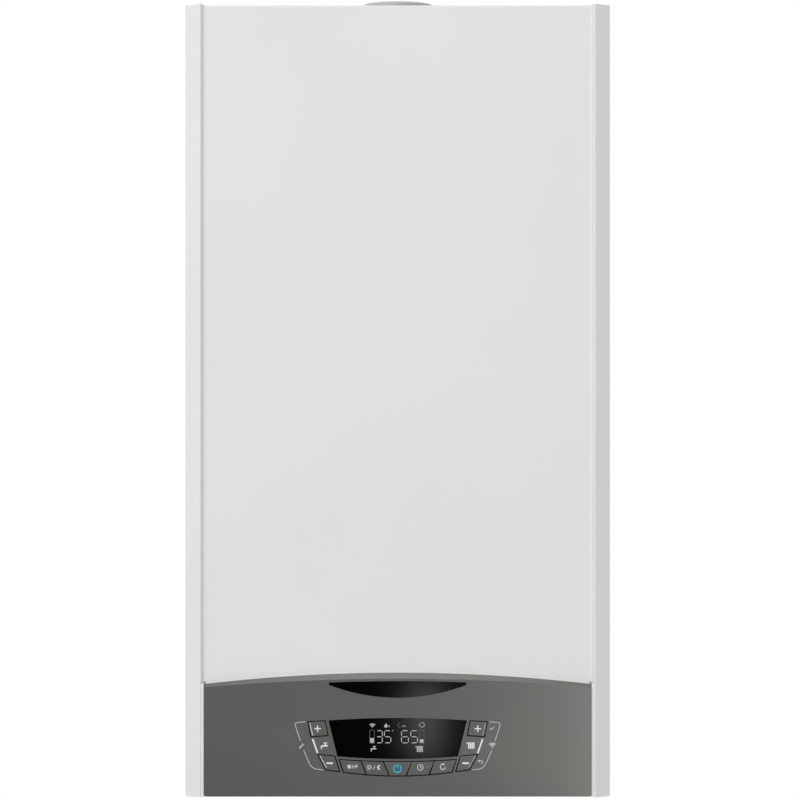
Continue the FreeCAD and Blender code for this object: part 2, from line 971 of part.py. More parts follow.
# Front cover: drawn tray with an arched lower edge, and the rail that hangs on the pegs
cover = body("cover_tray")
cover_outline = outline(
    sketch_on(cover, "cover_outline", "XZ_Plane", "0 - cover_rear"),
    [
        ("0 - cover_half", "cover_ends", "arch_radius", -1),
        ("cover_half", "cover_ends"),
        ("cover_half", "top_face"),
        ("0 - cover_half", "top_face"),
    ],
)
cover_pad = pad(cover, "cover_pad", cover_outline, "cover_return")


def on_cover_face(edge):
    return all(near(vertex.Y, value("cover_face")) for vertex in edge.Vertexes)


def front_to_back(edge):
    return near(abs(edge.Vertexes[0].Y - edge.Vertexes[-1].Y), value("cover_return"))


cover_corners = rounded(cover, "cover_corners", cover_pad, front_to_back, "cover_corner")
rounded(cover, "cover_edge", cover_corners, on_cover_face, "cover_round")
inner_ends = (
    "arch_centre + sqrt((arch_radius + cover_sheet) ^ 2 - (cover_half - cover_sheet) ^ 2)"
)
cover_inside = outline(
    sketch_on(cover, "cover_inside", "XZ_Plane", "0 - cover_rear"),
    [
        ("cover_sheet - cover_half", inner_ends, "arch_radius + cover_sheet", -1),
        ("cover_half - cover_sheet", inner_ends),
        ("cover_half - cover_sheet", "top_face - cover_sheet"),
        ("cover_sheet - cover_half", "top_face - cover_sheet"),
    ],
)
pocket(cover, "cover_hollow", cover_inside, "cover_return - cover_sheet", forwards=True)
rail = block(
    "cover_rail",
    ("cover_sheet - cover_half", "cover_half - cover_sheet"),
    ("cover_rear - cover_sheet", "cover_rear"),
    ("top_face - cover_sheet - rail_height", "top_face - cover_sheet"),
)
rail_holes = [
    rod(
        f"rail_{word}_hole",
        "y",
        (mirrored("peg_pitch / 2", side), "peg_level"),
        ("cover_rear - cover_sheet - overrun", "cover_rear + overrun"),
        "peg_radius + fit_gap",
    )
    for word, side in SIDES
]
piece("front_cover", cut("cover_cut", fuse("cover_body", cover, rail), *rail_holes))


# Fascia: moulded tray with a bevelled, arched top edge and openings for window and keys
def fascia_outline(sketch, ends, radius):
    return outline(
        sketch,
        [
            ("fascia_corner - cover_half", "floor + fascia_foot"),
            ("cover_half - fascia_corner", "floor + fascia_foot", "fascia_corner", 1),
            ("cover_half", "floor + fascia_foot + fascia_corner"),
            ("cover_half", ends, radius, 1),
            ("0 - cover_half", ends),
            ("0 - cover_half", "floor + fascia_foot + fascia_corner", "fascia_corner", 1),
        ],
    )


tray = body("fascia_tray")
face_section = fascia_outline(
    sketch_on(tray, "face_section", "XZ_Plane", "case_depth"),
    "floor + face_crown - face_rise",
    "face_radius",
)
rim_section = fascia_outline(
    sketch_on(tray, "rim_section", "XZ_Plane", "case_depth - face_bevel"),
    "floor + fascia_crown - arch_rise",
    "arch_radius",
)
face_loft = tray.newObject("PartDesign::AdditiveLoft", "face_loft")
face_loft.Profile = face_section
face_loft.Sections = [rim_section]
face_loft.Ruled = True
pad(tray, "rim_pad", rim_section, "fascia_depth - face_bevel", backwards=True)
tray_ends = "tray_centre + sqrt(tray_radius ^ 2 - tray_half ^ 2)"
tray_inside = outline(
    sketch_on(tray, "tray_inside", "XZ_Plane", "case_depth - fascia_depth"),
    [
        ("0 - tray_half", "floor + fascia_foot + fascia_wall"),
        ("tray_half", "floor + fascia_foot + fascia_wall"),
        ("tray_half", tray_ends, "tray_radius", 1),
        ("0 - tray_half", tray_ends),
    ],
)
pocket(tray, "tray_hollow", tray_inside, "fascia_depth - fascia_wall", forwards=True)


def arc_radius(half, rise):
    """The radius of an arch from its half width and its rise."""
    return f"(({half}) ^ 2 + ({rise}) ^ 2) / (2 * ({rise}))"


badge_sketch = outline(
    front_sketch("badge_outline"),
    [
        ("0 - badge_half", "floor + badge_tip", arc_radius("badge_half", "badge_drop"), 1),
        ("badge_half", "floor + badge_tip"),
        (
            "badge_half",
            "floor + badge_tip + badge_tip_height",
            arc_radius("badge_half", "badge_top_rise"),
            1,
        ),
        ("0 - badge_half", "floor + badge_tip + badge_tip_height"),
    ],
)
window_sketch = outline(
    front_sketch("window_outline"),
    [
        (
            "0 - window_low_half",
            "floor + window_low",
            arc_radius("window_low_half", "window_low_drop"),
            1,
        ),
        ("window_low_half", "floor + window_low"),
        (
            "window_top_half",
            "floor + window_top",
            arc_radius("window_top_half", "window_top_rise"),
            1,
        ),
        ("0 - window_top_half", "floor + window_top"),
    ],
)


def hand_key(kind, side):
    """The outline of a plus or minus key, whose corners mirror across the fascia."""
    corners = [
        (mirrored(f"{kind}_{corner}_x", side), f"floor + {kind}_{corner}_z")
        for corner in ("outer_low", "inner_low", "inner_top", "outer_top")
    ]
    word = "left" if side < 0 else "right"
    return outline(front_sketch(f"{word}_{kind}_outline"), corners)


def row_edge(x, level, sag, half):
    """The height of one of the row's sagging edges at a place across it."""
    radius = arc_radius(half, sag)
    return f"floor + {level} - {sag} + {radius} - sqrt(({radius}) ^ 2 - ({x}) ^ 2)"


def row_key(name, left, right):
    """A key of the row between two splits, each given at the top and the lower edge."""
    low_radius = arc_radius("row_low_half", "row_low_sag")
    top_radius = arc_radius("row_top_half", "row_top_sag")

    def low(x):
        return (x, row_edge(x, "row_low", "row_low_sag", "row_low_half"))

    def top(x):
        return (x, row_edge(x, "row_top", "row_top_sag", "row_top_half"))

    corners = [
        (*low(left[1]), low_radius, 1),
        low(right[1]),
        (*top(right[0]), top_radius, -1),
        top(left[0]),
    ]
    return outline(front_sketch(name), corners)


ROW_SPLITS = (
    ("0 - row_top_half", "0 - row_low_half"),
    ("0 - row_outer_split_top", "0 - row_outer_split_low"),
    ("0 - row_inner_split_top", "0 - row_inner_split_low"),
    ("row_inner_split_top", "row_inner_split_low"),
    ("row_outer_split_top", "row_outer_split_low"),
    ("row_top_half", "row_low_half"),
)
row_sketch = row_key("row_outline", ROW_SPLITS[0], ROW_SPLITS[-1])
ROW_NAMES = ("key_mode", "key_comfort", "key_power", "key_timer", "key_reset")


def middle(texts):
    """The mean of some lengths."""
    return "(" + " + ".join(f"({text})" for text in texts) + f") / {len(texts)}"


# Each key: its label, its outline and the middle of its stem
KEYS = []
for prefix, side in (("key_water", -1), ("key_heat", 1)):
    for kind in ("plus", "minus"):
        corners = ("outer_low", "inner_low", "inner_top", "outer_top")
        across_middle = mirrored(middle([f"{kind}_{corner}_x" for corner in corners]), side)
        up_middle = "floor + " + middle([f"{kind}_{corner}_z" for corner in corners])
        KEYS.append((f"{prefix}_{kind}", hand_key(kind, side), across_middle, up_middle))
row_middle = "floor + (row_top - row_top_sag + row_low - row_low_sag) / 2"
for name, left, right in zip(ROW_NAMES, ROW_SPLITS, ROW_SPLITS[1:]):
    across_middle = middle([left[0], left[1], right[0], right[1]])
    KEYS.append((name, row_key(f"{name}_outline", left, right), across_middle, row_middle))

cut_front = "front - overrun"
through = (cut_front, "front + fascia_wall + overrun")
openings = [
    raised("badge_recess", badge_sketch, cut_front, "front + badge_thick"),
    raised("window_recess", window_sketch, cut_front, "front + window_thick"),
    block(
        "aperture",
        ("0 - aperture_half", "aperture_half"),
        through,
        ("floor + aperture_low", "floor + aperture_low + aperture_height"),
    ),
    raised("row_opening", row_sketch, *through, "(0 - key_ease)"),
]
for label, drawn, x, z in KEYS[:4]:
    openings.append(raised(f"{label}_opening", drawn, *through, "(0 - key_ease)"))
post_places = [
    (mirrored("board_half - post_inset", side), f"floor + board_low + {up}")
    for word, side in SIDES
    for up in ("post_inset", "board_height - post_inset")
]
posts = [
    rod(f"board_post_{at}", "y", centre, ("front + fascia_wall", "board_face"), "post_radius")
    for at, centre in enumerate(post_places)
]
piece("fascia", cut("fascia_cut", fuse("fascia_body", tray, *posts), *openings))

# Badge plate and display window: lenses glued into their recesses
piece("badge_plate", raised("badge_lens", badge_sketch, "front", "front + badge_thick", "trim_gap"))
piece(
    "display_window",
    raised("window_lens", window_sketch, "front", "front + window_thick", "trim_gap"),
)

# Keys: caps with a stem that presses a switch on the display board
switches = []
for label, drawn, x, z in KEYS:
    cap = raised(f"{label}_cap", drawn, "front - key_proud", "front + key_depth", "key_gap")
    stem_span = ("front + key_depth", "switch_face - key_travel - fit_gap")
    stem = rod(f"{label}_stem", "y", (x, z), stem_span, "stem_radius")
    piece(label, fuse(f"{label}_solid", cap, stem))
    switches.append(
        block(
            f"{label}_switch",
            (f"{x} - switch_side / 2", f"{x} + switch_side / 2"),
            ("switch_face", "board_face"),
            (f"{z} - switch_side / 2", f"{z} + switch_side / 2"),
        )
    )

# Display board: circuit board with the display module and a switch behind each key
display_sheet = block(
    "display_sheet",
    ("0 - board_half", "board_half"),
    ("board_face", "board_back"),
    ("floor + board_low", "floor + board_low + board_height"),
)
display_module = block(
    "display_module",
    ("trim_gap - aperture_half", "aperture_half - trim_gap"),
    ("front + window_thick + trim_gap", "board_face"),
    ("floor + aperture_low + trim_gap", "floor + aperture_low + aperture_height - trim_gap"),
)
piece("display_board", group("display_group", display_sheet, display_module, *switches))

# Control box: moulded housing behind the fascia, hung on two pins at its lower rear edge
box_outside = block(
    "box_outside",
    ("0 - box_half", "box_half"),
    ("box_front", "box_rear"),
    ("box_bottom", "box_bottom + box_height"),
)
box_inside = block(
    "box_inside",
    ("box_wall - box_half", "box_half - box_wall"),
    ("box_front - overrun", "box_rear - box_wall"),
    ("box_bottom + box_wall", "box_bottom + box_height - box_wall"),
)
bosses = []
pin_bores = []
hinge_line = ("hinge_y", "hinge_z")
for word, side in SIDES:
    boss_span = across("box_half - boss_length", "box_half", side)
    bosses.append(rod(f"box_{word}_boss", "x", hinge_line, boss_span, "boss_radius"))
    bore_span = across("box_half - boss_length - overrun", "box_half + overrun", side)
    pin_bores.append(
        rod(f"box_{word}_bore", "x", hinge_line, bore_span, "pin_radius + pin_play")
    )
main_places = [
    (mirrored("main_half - post_inset", side), f"box_bottom + main_low + {up}")
    for word, side in SIDES
    for up in ("post_inset", "main_height - post_inset")
]
main_posts = [
    rod(f"main_post_{at}", "y", centre, ("main_rear", "box_rear - box_wall"), "post_radius")
    for at, centre in enumerate(main_places)
]
box_shell = cut("box_shell", box_outside, box_inside)
piece(
    "control_box",
    cut("box_cut", fuse("box_body", box_shell, *bosses, *main_posts), *pin_bores),
)

# Main board: circuit board with transformer, relays, capacitors and a row of plugs
main_floor = "box_bottom + main_low"
main_solids = [
    block(
        "main_sheet",
        ("0 - main_half", "main_half"),
        ("main_face", "main_rear"),
        (main_floor, f"{main_floor} + main_height"),
    ),
    block(
        "transformer",
        ("relay_pitch - main_half", "relay_pitch + transformer_width - main_half"),
        ("main_face - transformer_depth", "main_face"),
        (f"{main_floor} + part_row", f"{main_floor} + part_row + main_height * transformer_share"),
    ),
]
for at in range(3):
    left = f"{at} * relay_pitch"
    main_solids.append(
        block(
            f"relay_{at}",
            (left, f"{left} + relay_width"),
            ("main_face - relay_depth", "main_face"),
            (f"{main_floor} + part_row", f"{main_floor} + part_row + relay_height"),
        )
    )
for at in range(2):
    main_solids.append(
        rod(
            f"capacitor_{at}",
            "y",
            (f"0 - {at + 1} * relay_pitch", f"{main_floor} + 2 * part_row"),
            ("main_face - capacitor_depth", "main_face"),
            "capacitor_radius",
        )
    )
for at in range(5):
    left = f"plug_pitch * {at} - 2 * plug_pitch - plug_width / 2"
    main_solids.append(
        block(
            f"plug_{at}",
            (left, f"{left} + plug_width"),
            ("main_face - plug_depth", "main_face"),
            (f"{main_floor} + post_inset", f"{main_floor} + post_inset + plug_height"),
        )
    )
piece("main_board", group("main_group", *main_solids))

# Hinge brackets: sheet ears on the side panels, each with a pin for the control box
brackets = []
for word, side in SIDES:
    ear_inner = "box_half + bracket_gap"
    ear_outer = "box_half + bracket_gap + bracket_sheet"
    depth = ("hinge_y - bracket_half", "hinge_y + bracket_half")
    shelf_low = "hinge_z - bracket_half + bracket_rise - bracket_sheet"
    ear = block(
        f"{word}_ear",
        across(ear_inner, ear_outer, side),
        depth,
        ("hinge_z - bracket_half", "hinge_z - bracket_half + bracket_rise"),
    )
    shelf = block(
        f"{word}_ear_shelf",
        across(ear_inner, "side_face", side),
        depth,
        (shelf_low, f"{shelf_low} + bracket_sheet"),
    )
    foot = block(
        f"{word}_ear_foot",
        across("side_face - bracket_sheet", "side_face", side),
        depth,
        (shelf_low, f"{shelf_low} + bracket_rise"),
    )
    pin_span = across("box_half - boss_length", ear_outer, side)
    pin = rod(f"{word}_pin", "x", hinge_line, pin_span, "pin_radius")
    brackets.append(fuse(f"{word}_bracket", ear, shelf, foot, pin))
piece("hinge_brackets", group("bracket_group", *brackets))


# Flue adapter: cast flange with the flue spigot and the lower air collar round it
adapter = body("flue_adapter")
adapter_section = outline(
    sketch_on(adapter, "adapter_section", "XZ_Plane"),
    [
        ("flue_bore", "0 - adapter_drop"),
        ("spigot_radius", "0 - adapter_drop"),
        ("spigot_radius", "0"),
        ("adapter_radius", "0"),
        ("adapter_radius", "adapter_flange"),
        ("collar_bore + collar_wall", "adapter_flange"),
        ("collar_bore + collar_wall", "collar_height"),
        ("collar_bore", "collar_height"),
        ("collar_bore", "adapter_flange"),
        ("spigot_radius", "adapter_flange"),
        ("spigot_radius", "flue_rise - rim_height"),
        ("rim_radius", "flue_rise - rim_height"),
        ("rim_radius", "flue_rise - rim_round", "rim_round", 1),
        ("rim_radius - rim_round", "flue_rise"),
        ("flue_bore", "flue_rise"),
    ],
)
adapter_turn = adapter.newObject("PartDesign::Revolution", "adapter_turn")
adapter_turn.Profile = adapter_section
adapter_turn.ReferenceAxis = (adapter_section, ["V_Axis"])
adapter_turn.Angle = 360
slot_sketch = circles(
    sketch_on(adapter, "slot_sketch", "XY_Plane", "adapter_flange"),
    [("(spigot_radius + collar_bore) / 2", "0")],
    "air_slot",
)
slot_cut = pocket(adapter, "slot_cut", slot_sketch, "adapter_flange + overrun")
polar(adapter, "slot_ring", slot_cut, slot_sketch, AIR_SLOT_COUNT)
place(adapter, y="flue_y", z="top_face")
piece("flue_adapter", adapter)


def on_circle(radius, at, count, turn=0):
    """The two offsets of one place of a ring of places."""
    angle = 360 * at / count + turn
    return f"{radius} * cos({angle})", f"{radius} * sin({angle})"


# Flue screws: pan heads that clamp the adapter's flange to the top panel
flue_screws = []
for at in range(SCREW_COUNT):
    x, y = on_circle("screw_circle", at, SCREW_COUNT, 45)
    span = ("top_face + adapter_flange", "top_face + adapter_flange + screw_height")
    flue_screws.append(rod(f"flue_screw_{at}", "z", (x, f"flue_y + {y}"), span, "screw_radius"))
piece("flue_screws", group("flue_screw_group", *flue_screws))


def tube(name, axis, centre, span, radius, bore):
    """A straight tube along an axis."""
    outside = rod(f"{name}_outside", axis, centre, span, radius)
    inside_span = (f"{span[0]} - overrun", f"{span[1]} + overrun")
    return cut(name, outside, rod(f"{name}_inside", axis, centre, inside_span, bore))


# Flue pipe: plastic sleeve from the exchanger's spigot to the adapter's
piece(
    "flue_pipe",
    tube(
        "flue_sleeve",
        "z",
        ("0", "flue_y"),
        ("drum_top + fit_gap", "top_under - fit_gap"),
        "spigot_radius + fit_gap + pipe_wall",
        "spigot_radius + fit_gap",
    ),
)

# Heat exchanger shell: drum with a bolted front flange, flue spigot, drain, ports and lugs
axis_line = ("0", "drum_z")
drum_solids = [
    rod("drum", "y", axis_line, ("drum_front", "drum_rear"), "drum_radius"),
    rod(
        "drum_rim", "y", axis_line, ("drum_front", "drum_front + drum_flange_depth"), "drum_flange"
    ),
    rod("drum_flue", "z", ("0", "flue_y"), ("drum_z", "drum_top + drum_spigot"), "spigot_radius"),
    rod("drum_drain", "z", ("trap_x", "trap_y"), ("drum_bottom", "drum_z"), "neck_radius"),
]
for word, side in SIDES:
    port = (mirrored("port_reach", side), "port_y")
    drum_solids.append(rod(f"{word}_port", "z", port, ("drum_bottom", "drum_z"), "port_radius"))
    drum_solids.append(
        block(
            f"{word}_lug",
            across("drum_radius - drum_wall", "lug_reach", side),
            ("0 - lug_setback - lug_depth", "0 - lug_setback"),
            ("shelf_face", "shelf_face + lug_height"),
        )
    )
drum_hollow = rod(
    "drum_hollow",
    "y",
    axis_line,
    ("drum_front - overrun", "drum_rear - drum_wall"),
    "drum_radius - drum_wall",
)
drum_flue_bore = rod(
    "drum_flue_bore",
    "z",
    ("0", "flue_y"),
    ("drum_z", "drum_top + drum_spigot + overrun"),
    "flue_bore",
)
drum_drain_bore = rod(
    "drum_drain_bore",
    "z",
    ("trap_x", "trap_y"),
    ("drum_bottom - overrun", "drum_z"),
    "neck_radius - trap_wall",
)
piece(
    "exchanger_shell",
    cut(
        "drum_cut", fuse("drum_body", *drum_solids), drum_hollow, drum_flue_bore, drum_drain_bore
    ),
)

# Heat exchanger coil: parallel tube rings between two headers
coil_solids = []
for at in range(RING_COUNT):
    ring = doc.addObject("Part::Torus", f"coil_ring_{at}")
    ring.Placement = FreeCAD.Placement(FreeCAD.Vector(), TURNS["y"])
    bind(ring, "Radius1", "coil_radius")
    bind(ring, "Radius2", "coil_tube")
    bind(ring, "Placement.Base.y", f"drum_front + coil_inset + coil_span * {at} / {RING_COUNT - 1}")
    bind(ring, "Placement.Base.z", "drum_z")
    coil_solids.append(ring)
for word, side in SIDES:
    header_centre = (
        mirrored("coil_radius * cos(45)", side),
        "drum_z - coil_radius * sin(45)",
    )
    header_span = ("drum_front + coil_inset", "drum_rear - drum_wall")
    coil_solids.append(rod(f"{word}_header", "y", header_centre, header_span, "header_radius"))
piece("exchanger_coil", fuse("coil_body", *coil_solids))

# Exchanger brackets: shelves on the side panels that carry the drum's lugs
shelves = []
for word, side in SIDES:
    depth = ("0 - lug_setback - lug_depth", "0 - lug_setback")
    plate = block(
        f"{word}_shelf",
        across("drum_radius + shelf_clear", "side_face", side),
        depth,
        ("shelf_face - bracket_sheet", "shelf_face"),
    )
    flange = block(
        f"{word}_shelf_flange",
        across("side_face - bracket_sheet", "side_face", side),
        depth,
        ("shelf_face - shelf_flange", "shelf_face"),
    )
    shelves.append(fuse(f"{word}_shelf_bracket", plate, flange))
piece("exchanger_brackets", group("shelf_group", *shelves))

# Electrodes: ceramic rods through the burner door
electrode_places = [
    (
        f"0 - drum_radius * (electrode_x_share + {at} * electrode_step_x_share)",
        f"drum_z - drum_radius * (electrode_z_share - {at} * electrode_step_z_share)",
    )
    for at in range(2)
]
electrodes = []
electrode_holes = []
for at, centre in enumerate(electrode_places):
    span = ("door_front - electrode_front", "drum_front + electrode_reach")
    electrodes.append(rod(f"electrode_{at}", "y", centre, span, "electrode_radius"))
    hole_span = ("door_front - overrun", "drum_front + overrun")
    electrode_holes.append(
        rod(f"electrode_hole_{at}", "y", centre, hole_span, "electrode_radius + trim_gap")
    )
piece("electrodes", group("electrode_group", *electrodes))

# Burner door: round cast door with the mixture inlet
door_plate = rod("door_plate", "y", axis_line, ("door_front", "drum_front"), "drum_flange")
door_inlet = rod(
    "door_inlet", "y", axis_line, ("door_front - overrun", "drum_front + overrun"), "inlet_bore"
)
piece("burner_door", cut("door_cut", door_plate, door_inlet, *electrode_holes))

# Door nuts
door_nuts = []
for at in range(NUT_COUNT):
    x, z = on_circle("nut_circle", at, NUT_COUNT)
    span = ("door_front - nut_height", "door_front")
    door_nuts.append(hexagon(f"door_nut_{at}", "y", (x, f"drum_z + {z}"), span, "nut_radius"))
piece("door_nuts", group("door_nut_group", *door_nuts))

# Burner: closed sleeve on the inside of the door
burner_outside = fuse(
    "burner_outside",
    rod(
        "burner_sleeve",
        "y",
        axis_line,
        ("drum_front", "drum_front + burner_length"),
        "burner_radius",
    ),
    rod(
        "burner_rim",
        "y",
        axis_line,
        ("drum_front", "drum_front + burner_wall"),
        "burner_flange",
    ),
)
burner_inside = rod(
    "burner_inside",
    "y",
    axis_line,
    ("drum_front - overrun", "drum_front + burner_length - burner_wall"),
    "burner_radius - burner_wall",
)
piece("burner", cut("burner_cut", burner_outside, burner_inside))

# Spark generator: potted box on the right side panel
piece(
    "spark_generator",
    block(
        "spark_box",
        ("side_face - spark_width", "side_face"),
        ("0 - spark_setback - spark_depth", "0 - spark_setback"),
        ("floor + spark_low", "floor + spark_low + spark_height"),
    ),
)

# Fan housing: drum with an upward outlet, a rear inlet and a front shaft hole
fan_line = ("fan_x", "fan_z")
fan_outside = fuse(
    "fan_outside",
    rod("fan_drum", "y", fan_line, ("fan_front", "fan_rear"), "fan_radius"),
    block(
        "fan_outlet",
        ("outlet_left", "outlet_left + outlet_width"),
        ("fan_front", "fan_rear"),
        ("fan_z", "outlet_top"),
    ),
)
fan_depth_inside = ("fan_front + fan_wall", "fan_rear - fan_wall")
piece(
    "fan_housing",
    cut(
        "fan_cut",
        fan_outside,
        rod("fan_hollow", "y", fan_line, fan_depth_inside, "fan_radius - fan_wall"),
        block(
            "fan_outlet_hollow",
            ("outlet_left + fan_wall", "outlet_left + outlet_width - fan_wall"),
            fan_depth_inside,
            ("fan_z", "outlet_top + overrun"),
        ),
        rod(
            "fan_inlet",
            "y",
            fan_line,
            ("fan_rear - fan_wall - overrun", "fan_rear + overrun"),
            "inlet_radius",
        ),
        rod(
            "fan_shaft_hole",
            "y",
            fan_line,
            ("fan_front - overrun", "fan_front + fan_wall + overrun"),
            "shaft_radius + pin_play",
        ),
    ),
)

# Fan motor: flat motor in front of the housing
piece(
    "fan_motor",
    cut(
        "fan_motor_cut",
        rod(
            "fan_motor_can",
            "y",
            fan_line,
            ("fan_front - fan_motor_depth", "fan_front"),
            "fan_motor_radius",
        ),
        rod(
            "fan_motor_bore",
            "y",
            fan_line,
            ("fan_front - shaft_reach - fit_gap", "fan_front + overrun"),
            "shaft_radius + pin_play",
        ),
    ),
)

# Fan impeller: back plate, blades and the shaft that runs into the motor
wheel = body("fan_impeller")
plate_sketch = circles(sketch_on(wheel, "wheel_plate", "XZ_Plane"), [("0", "0")], "wheel_radius")
pad(wheel, "wheel_plate_pad", plate_sketch, "wheel_plate")
shaft_sketch = circles(sketch_on(wheel, "wheel_shaft", "XZ_Plane"), [("0", "0")], "shaft_radius")
pad(
    wheel,
    "wheel_shaft_pad",
    shaft_sketch,
    "wheel_face + wheel_plate - fan_front + shaft_reach",
)
blade_sketch = outline(
    sketch_on(wheel, "wheel_blade", "XZ_Plane"),
    [
        ("blade_inner", "0 - blade_thick / 2"),
        ("wheel_radius - blade_thick", "0 - blade_thick / 2"),
        ("wheel_radius - blade_thick", "blade_thick / 2"),
        ("blade_inner", "blade_thick / 2"),
    ],
)
blade_pad = pad(wheel, "wheel_blade_pad", blade_sketch, "blade_width", backwards=True)
polar(wheel, "wheel_blades", blade_pad, blade_sketch, BLADE_COUNT)
place(wheel, "fan_x", "wheel_face + wheel_plate", "fan_z")
piece("fan_impeller", wheel)

# Mixer duct: box duct from the fan's outlet to the burner door
duct_outside = fuse(
    "duct_outside",
    block(
        "duct_box",
        ("outlet_left", "outlet_left + outlet_width"),
        ("fan_front", "fan_rear"),
        ("outlet_top", "drum_z + duct_top"),
    ),
    rod("duct_collar", "y", axis_line, ("fan_rear - fan_wall", "door_front"), "collar_radius"),
)
piece(
    "mixer_duct",
    cut(
        "duct_cut",
        duct_outside,
        block(
            "duct_hollow",
            ("outlet_left + fan_wall", "outlet_left + outlet_width - fan_wall"),
            fan_depth_inside,
            ("outlet_top - overrun", "drum_z + duct_top - fan_wall"),
        ),
        rod(
            "duct_bore",
            "y",
            axis_line,
            ("fan_rear - fan_wall - overrun", "door_front + overrun"),
            "outlet_width / 2 - fan_wall",
        ),
    ),
)

# Air silencer: venturi on the fan's inlet and a box that is open at its left end
silencer_outside = fuse(
    "silencer_outside",
    rod("venturi", "y", fan_line, ("fan_rear", "silencer_front"), "venturi_radius"),
    block(
        "silencer_box",
        ("0 - silencer_left", "fan_x + silencer_right"),
        ("silencer_front", "silencer_front + silencer_depth"),
        ("fan_z - silencer_half", "fan_z + silencer_half"),
    ),
)
piece(
    "air_silencer",
    cut(
        "silencer_cut",
        silencer_outside,
        rod(
            "venturi_bore",
            "y",
            fan_line,
            ("fan_rear - overrun", "silencer_front + silencer_wall + overrun"),
            "inlet_radius - silencer_wall",
        ),
        block(
            "silencer_hollow",
            ("0 - silencer_left - overrun", "fan_x + silencer_right - silencer_wall"),
            (
                "silencer_front + silencer_wall",
                "silencer_front + silencer_depth - silencer_wall",
            ),
            ("fan_z - silencer_half + silencer_wall", "fan_z + silencer_half - silencer_wall"),
        ),
    ),
)

# Gas valve: cast body with a solenoid, an injector to the venturi and a plunger bore
valve_line = ("valve_x", "valve_y")
plunger_low = "valve_bottom + plunger_seat"
valve_outside = fuse(
    "valve_outside",
    block(
        "valve_block",
        ("valve_left", "valve_left + valve_width"),
        ("valve_front", "valve_rear"),
        ("valve_bottom", "valve_bottom + valve_height"),
    ),
    rod(
        "solenoid",
        "z",
        valve_line,
        ("valve_bottom + valve_height", "valve_bottom + valve_height + solenoid_height"),
        "solenoid_radius",
    ),
    rod(
        "injector",
        "x",
        ("valve_front + injector_inset", "fan_z"),
        ("fan_x + venturi_radius + fit_gap", "valve_left"),
        "injector_radius - pipe_wall * 2",
    ),
)
plunger_bore = rod(
    "plunger_bore",
    "z",
    valve_line,
    (
        f"{plunger_low} - fit_gap",
        f"{plunger_low} + plunger_length + plunger_travel + fit_gap",
    ),
    "plunger_radius + pin_play",
)
piece("gas_valve", cut("valve_cut", valve_outside, plunger_bore))
piece(
    "gas_plunger",
    rod(
        "plunger",
        "z",
        valve_line,
        (plunger_low, f"{plunger_low} + plunger_length"),
        "plunger_radius",
    ),
)

# Gas pipe: bent steel pipe from the gas tail up and across to the valve
piece(
    "gas_pipe",
    bent_pipe(
        "gas_tube",
        [
            ("0", "tail_y", "short_top"),
            ("0", "tail_y", "gas_run"),
            ("0", "0 - gas_run_setback", "gas_run"),
            ("valve_x", "0 - gas_run_setback", "gas_run"),
            ("valve_x", "0 - gas_run_setback", "valve_bottom"),
        ],
        "gas_pipe_radius",
        "gas_pipe_radius - pipe_wall",
        "gas_bend",
    ),
)

# Condensate trap: bottle under the exchanger's drain, with its outlet through the plate
trap_line = ("trap_x", "trap_y")
trap_foot = "floor + drain_end"
piece(
    "condensate_trap",
    cut(
        "trap_cut",
        fuse(
            "trap_outside",
            rod("trap_bottle", "z", trap_line, ("trap_bottom", "trap_top"), "trap_radius"),
            rod("trap_neck", "z", trap_line, ("trap_top", "drum_bottom"), "neck_radius"),
            rod("trap_drain", "z", trap_line, (trap_foot, "trap_bottom"), "drain_radius"),
        ),
        rod(
            "trap_hollow",
            "z",
            trap_line,
            ("trap_bottom + trap_wall", "trap_top - trap_wall"),
            "trap_radius - trap_wall",
        ),
        rod(
            "trap_neck_bore",
            "z",
            trap_line,
            ("trap_top - trap_wall - overrun", "drum_bottom + overrun"),
            "neck_radius - trap_wall",
        ),
        rod(
            "trap_drain_bore",
            "z",
            trap_line,
            (f"{trap_foot} - overrun", "trap_bottom + trap_wall + overrun"),
            "drain_radius - trap_wall",
        ),
    ),
)

# Expansion vessel: flat-backed steel shell, turned about its own axis
vessel = body("expansion_vessel")
bulge = "(vessel_depth ^ 2 / 4 + (vessel_radius - vessel_flat) ^ 2)"
bulge_radius = f"{bulge} / (2 * (vessel_radius - vessel_flat))"
vessel_section = outline(
    sketch_on(vessel, "vessel_section", "XY_Plane"),
    [
        ("0", "0"),
        ("0", "0 - vessel_wall"),
        ("vessel_flat", "0 - vessel_wall", f"{bulge_radius} - vessel_wall", -1),
        ("vessel_flat", "vessel_wall - vessel_depth"),
        ("0", "vessel_wall - vessel_depth"),
        ("0", "0 - vessel_depth"),
        ("vessel_flat", "0 - vessel_depth", bulge_radius, 1),
        ("vessel_flat", "0"),
    ],
)
vessel_turn = vessel.newObject("PartDesign::Revolution", "vessel_turn")
vessel_turn.Profile = vessel_section
vessel_turn.ReferenceAxis = (vessel_section, ["V_Axis"])
vessel_turn.Angle = 360
place(vessel, y="wall_face", z="vessel_z")
piece("expansion_vessel", vessel)

# Vessel diaphragm: rubber disc across the middle of the vessel
membrane_middle = "wall_face - vessel_depth / 2"
piece(
    "vessel_diaphragm",
    rod(
        "membrane",
        "y",
        ("0", "vessel_z"),
        (f"{membrane_middle} - membrane_thick / 2", f"{membrane_middle} + membrane_thick / 2"),
        "vessel_radius - vessel_wall - fit_gap",
    ),
)

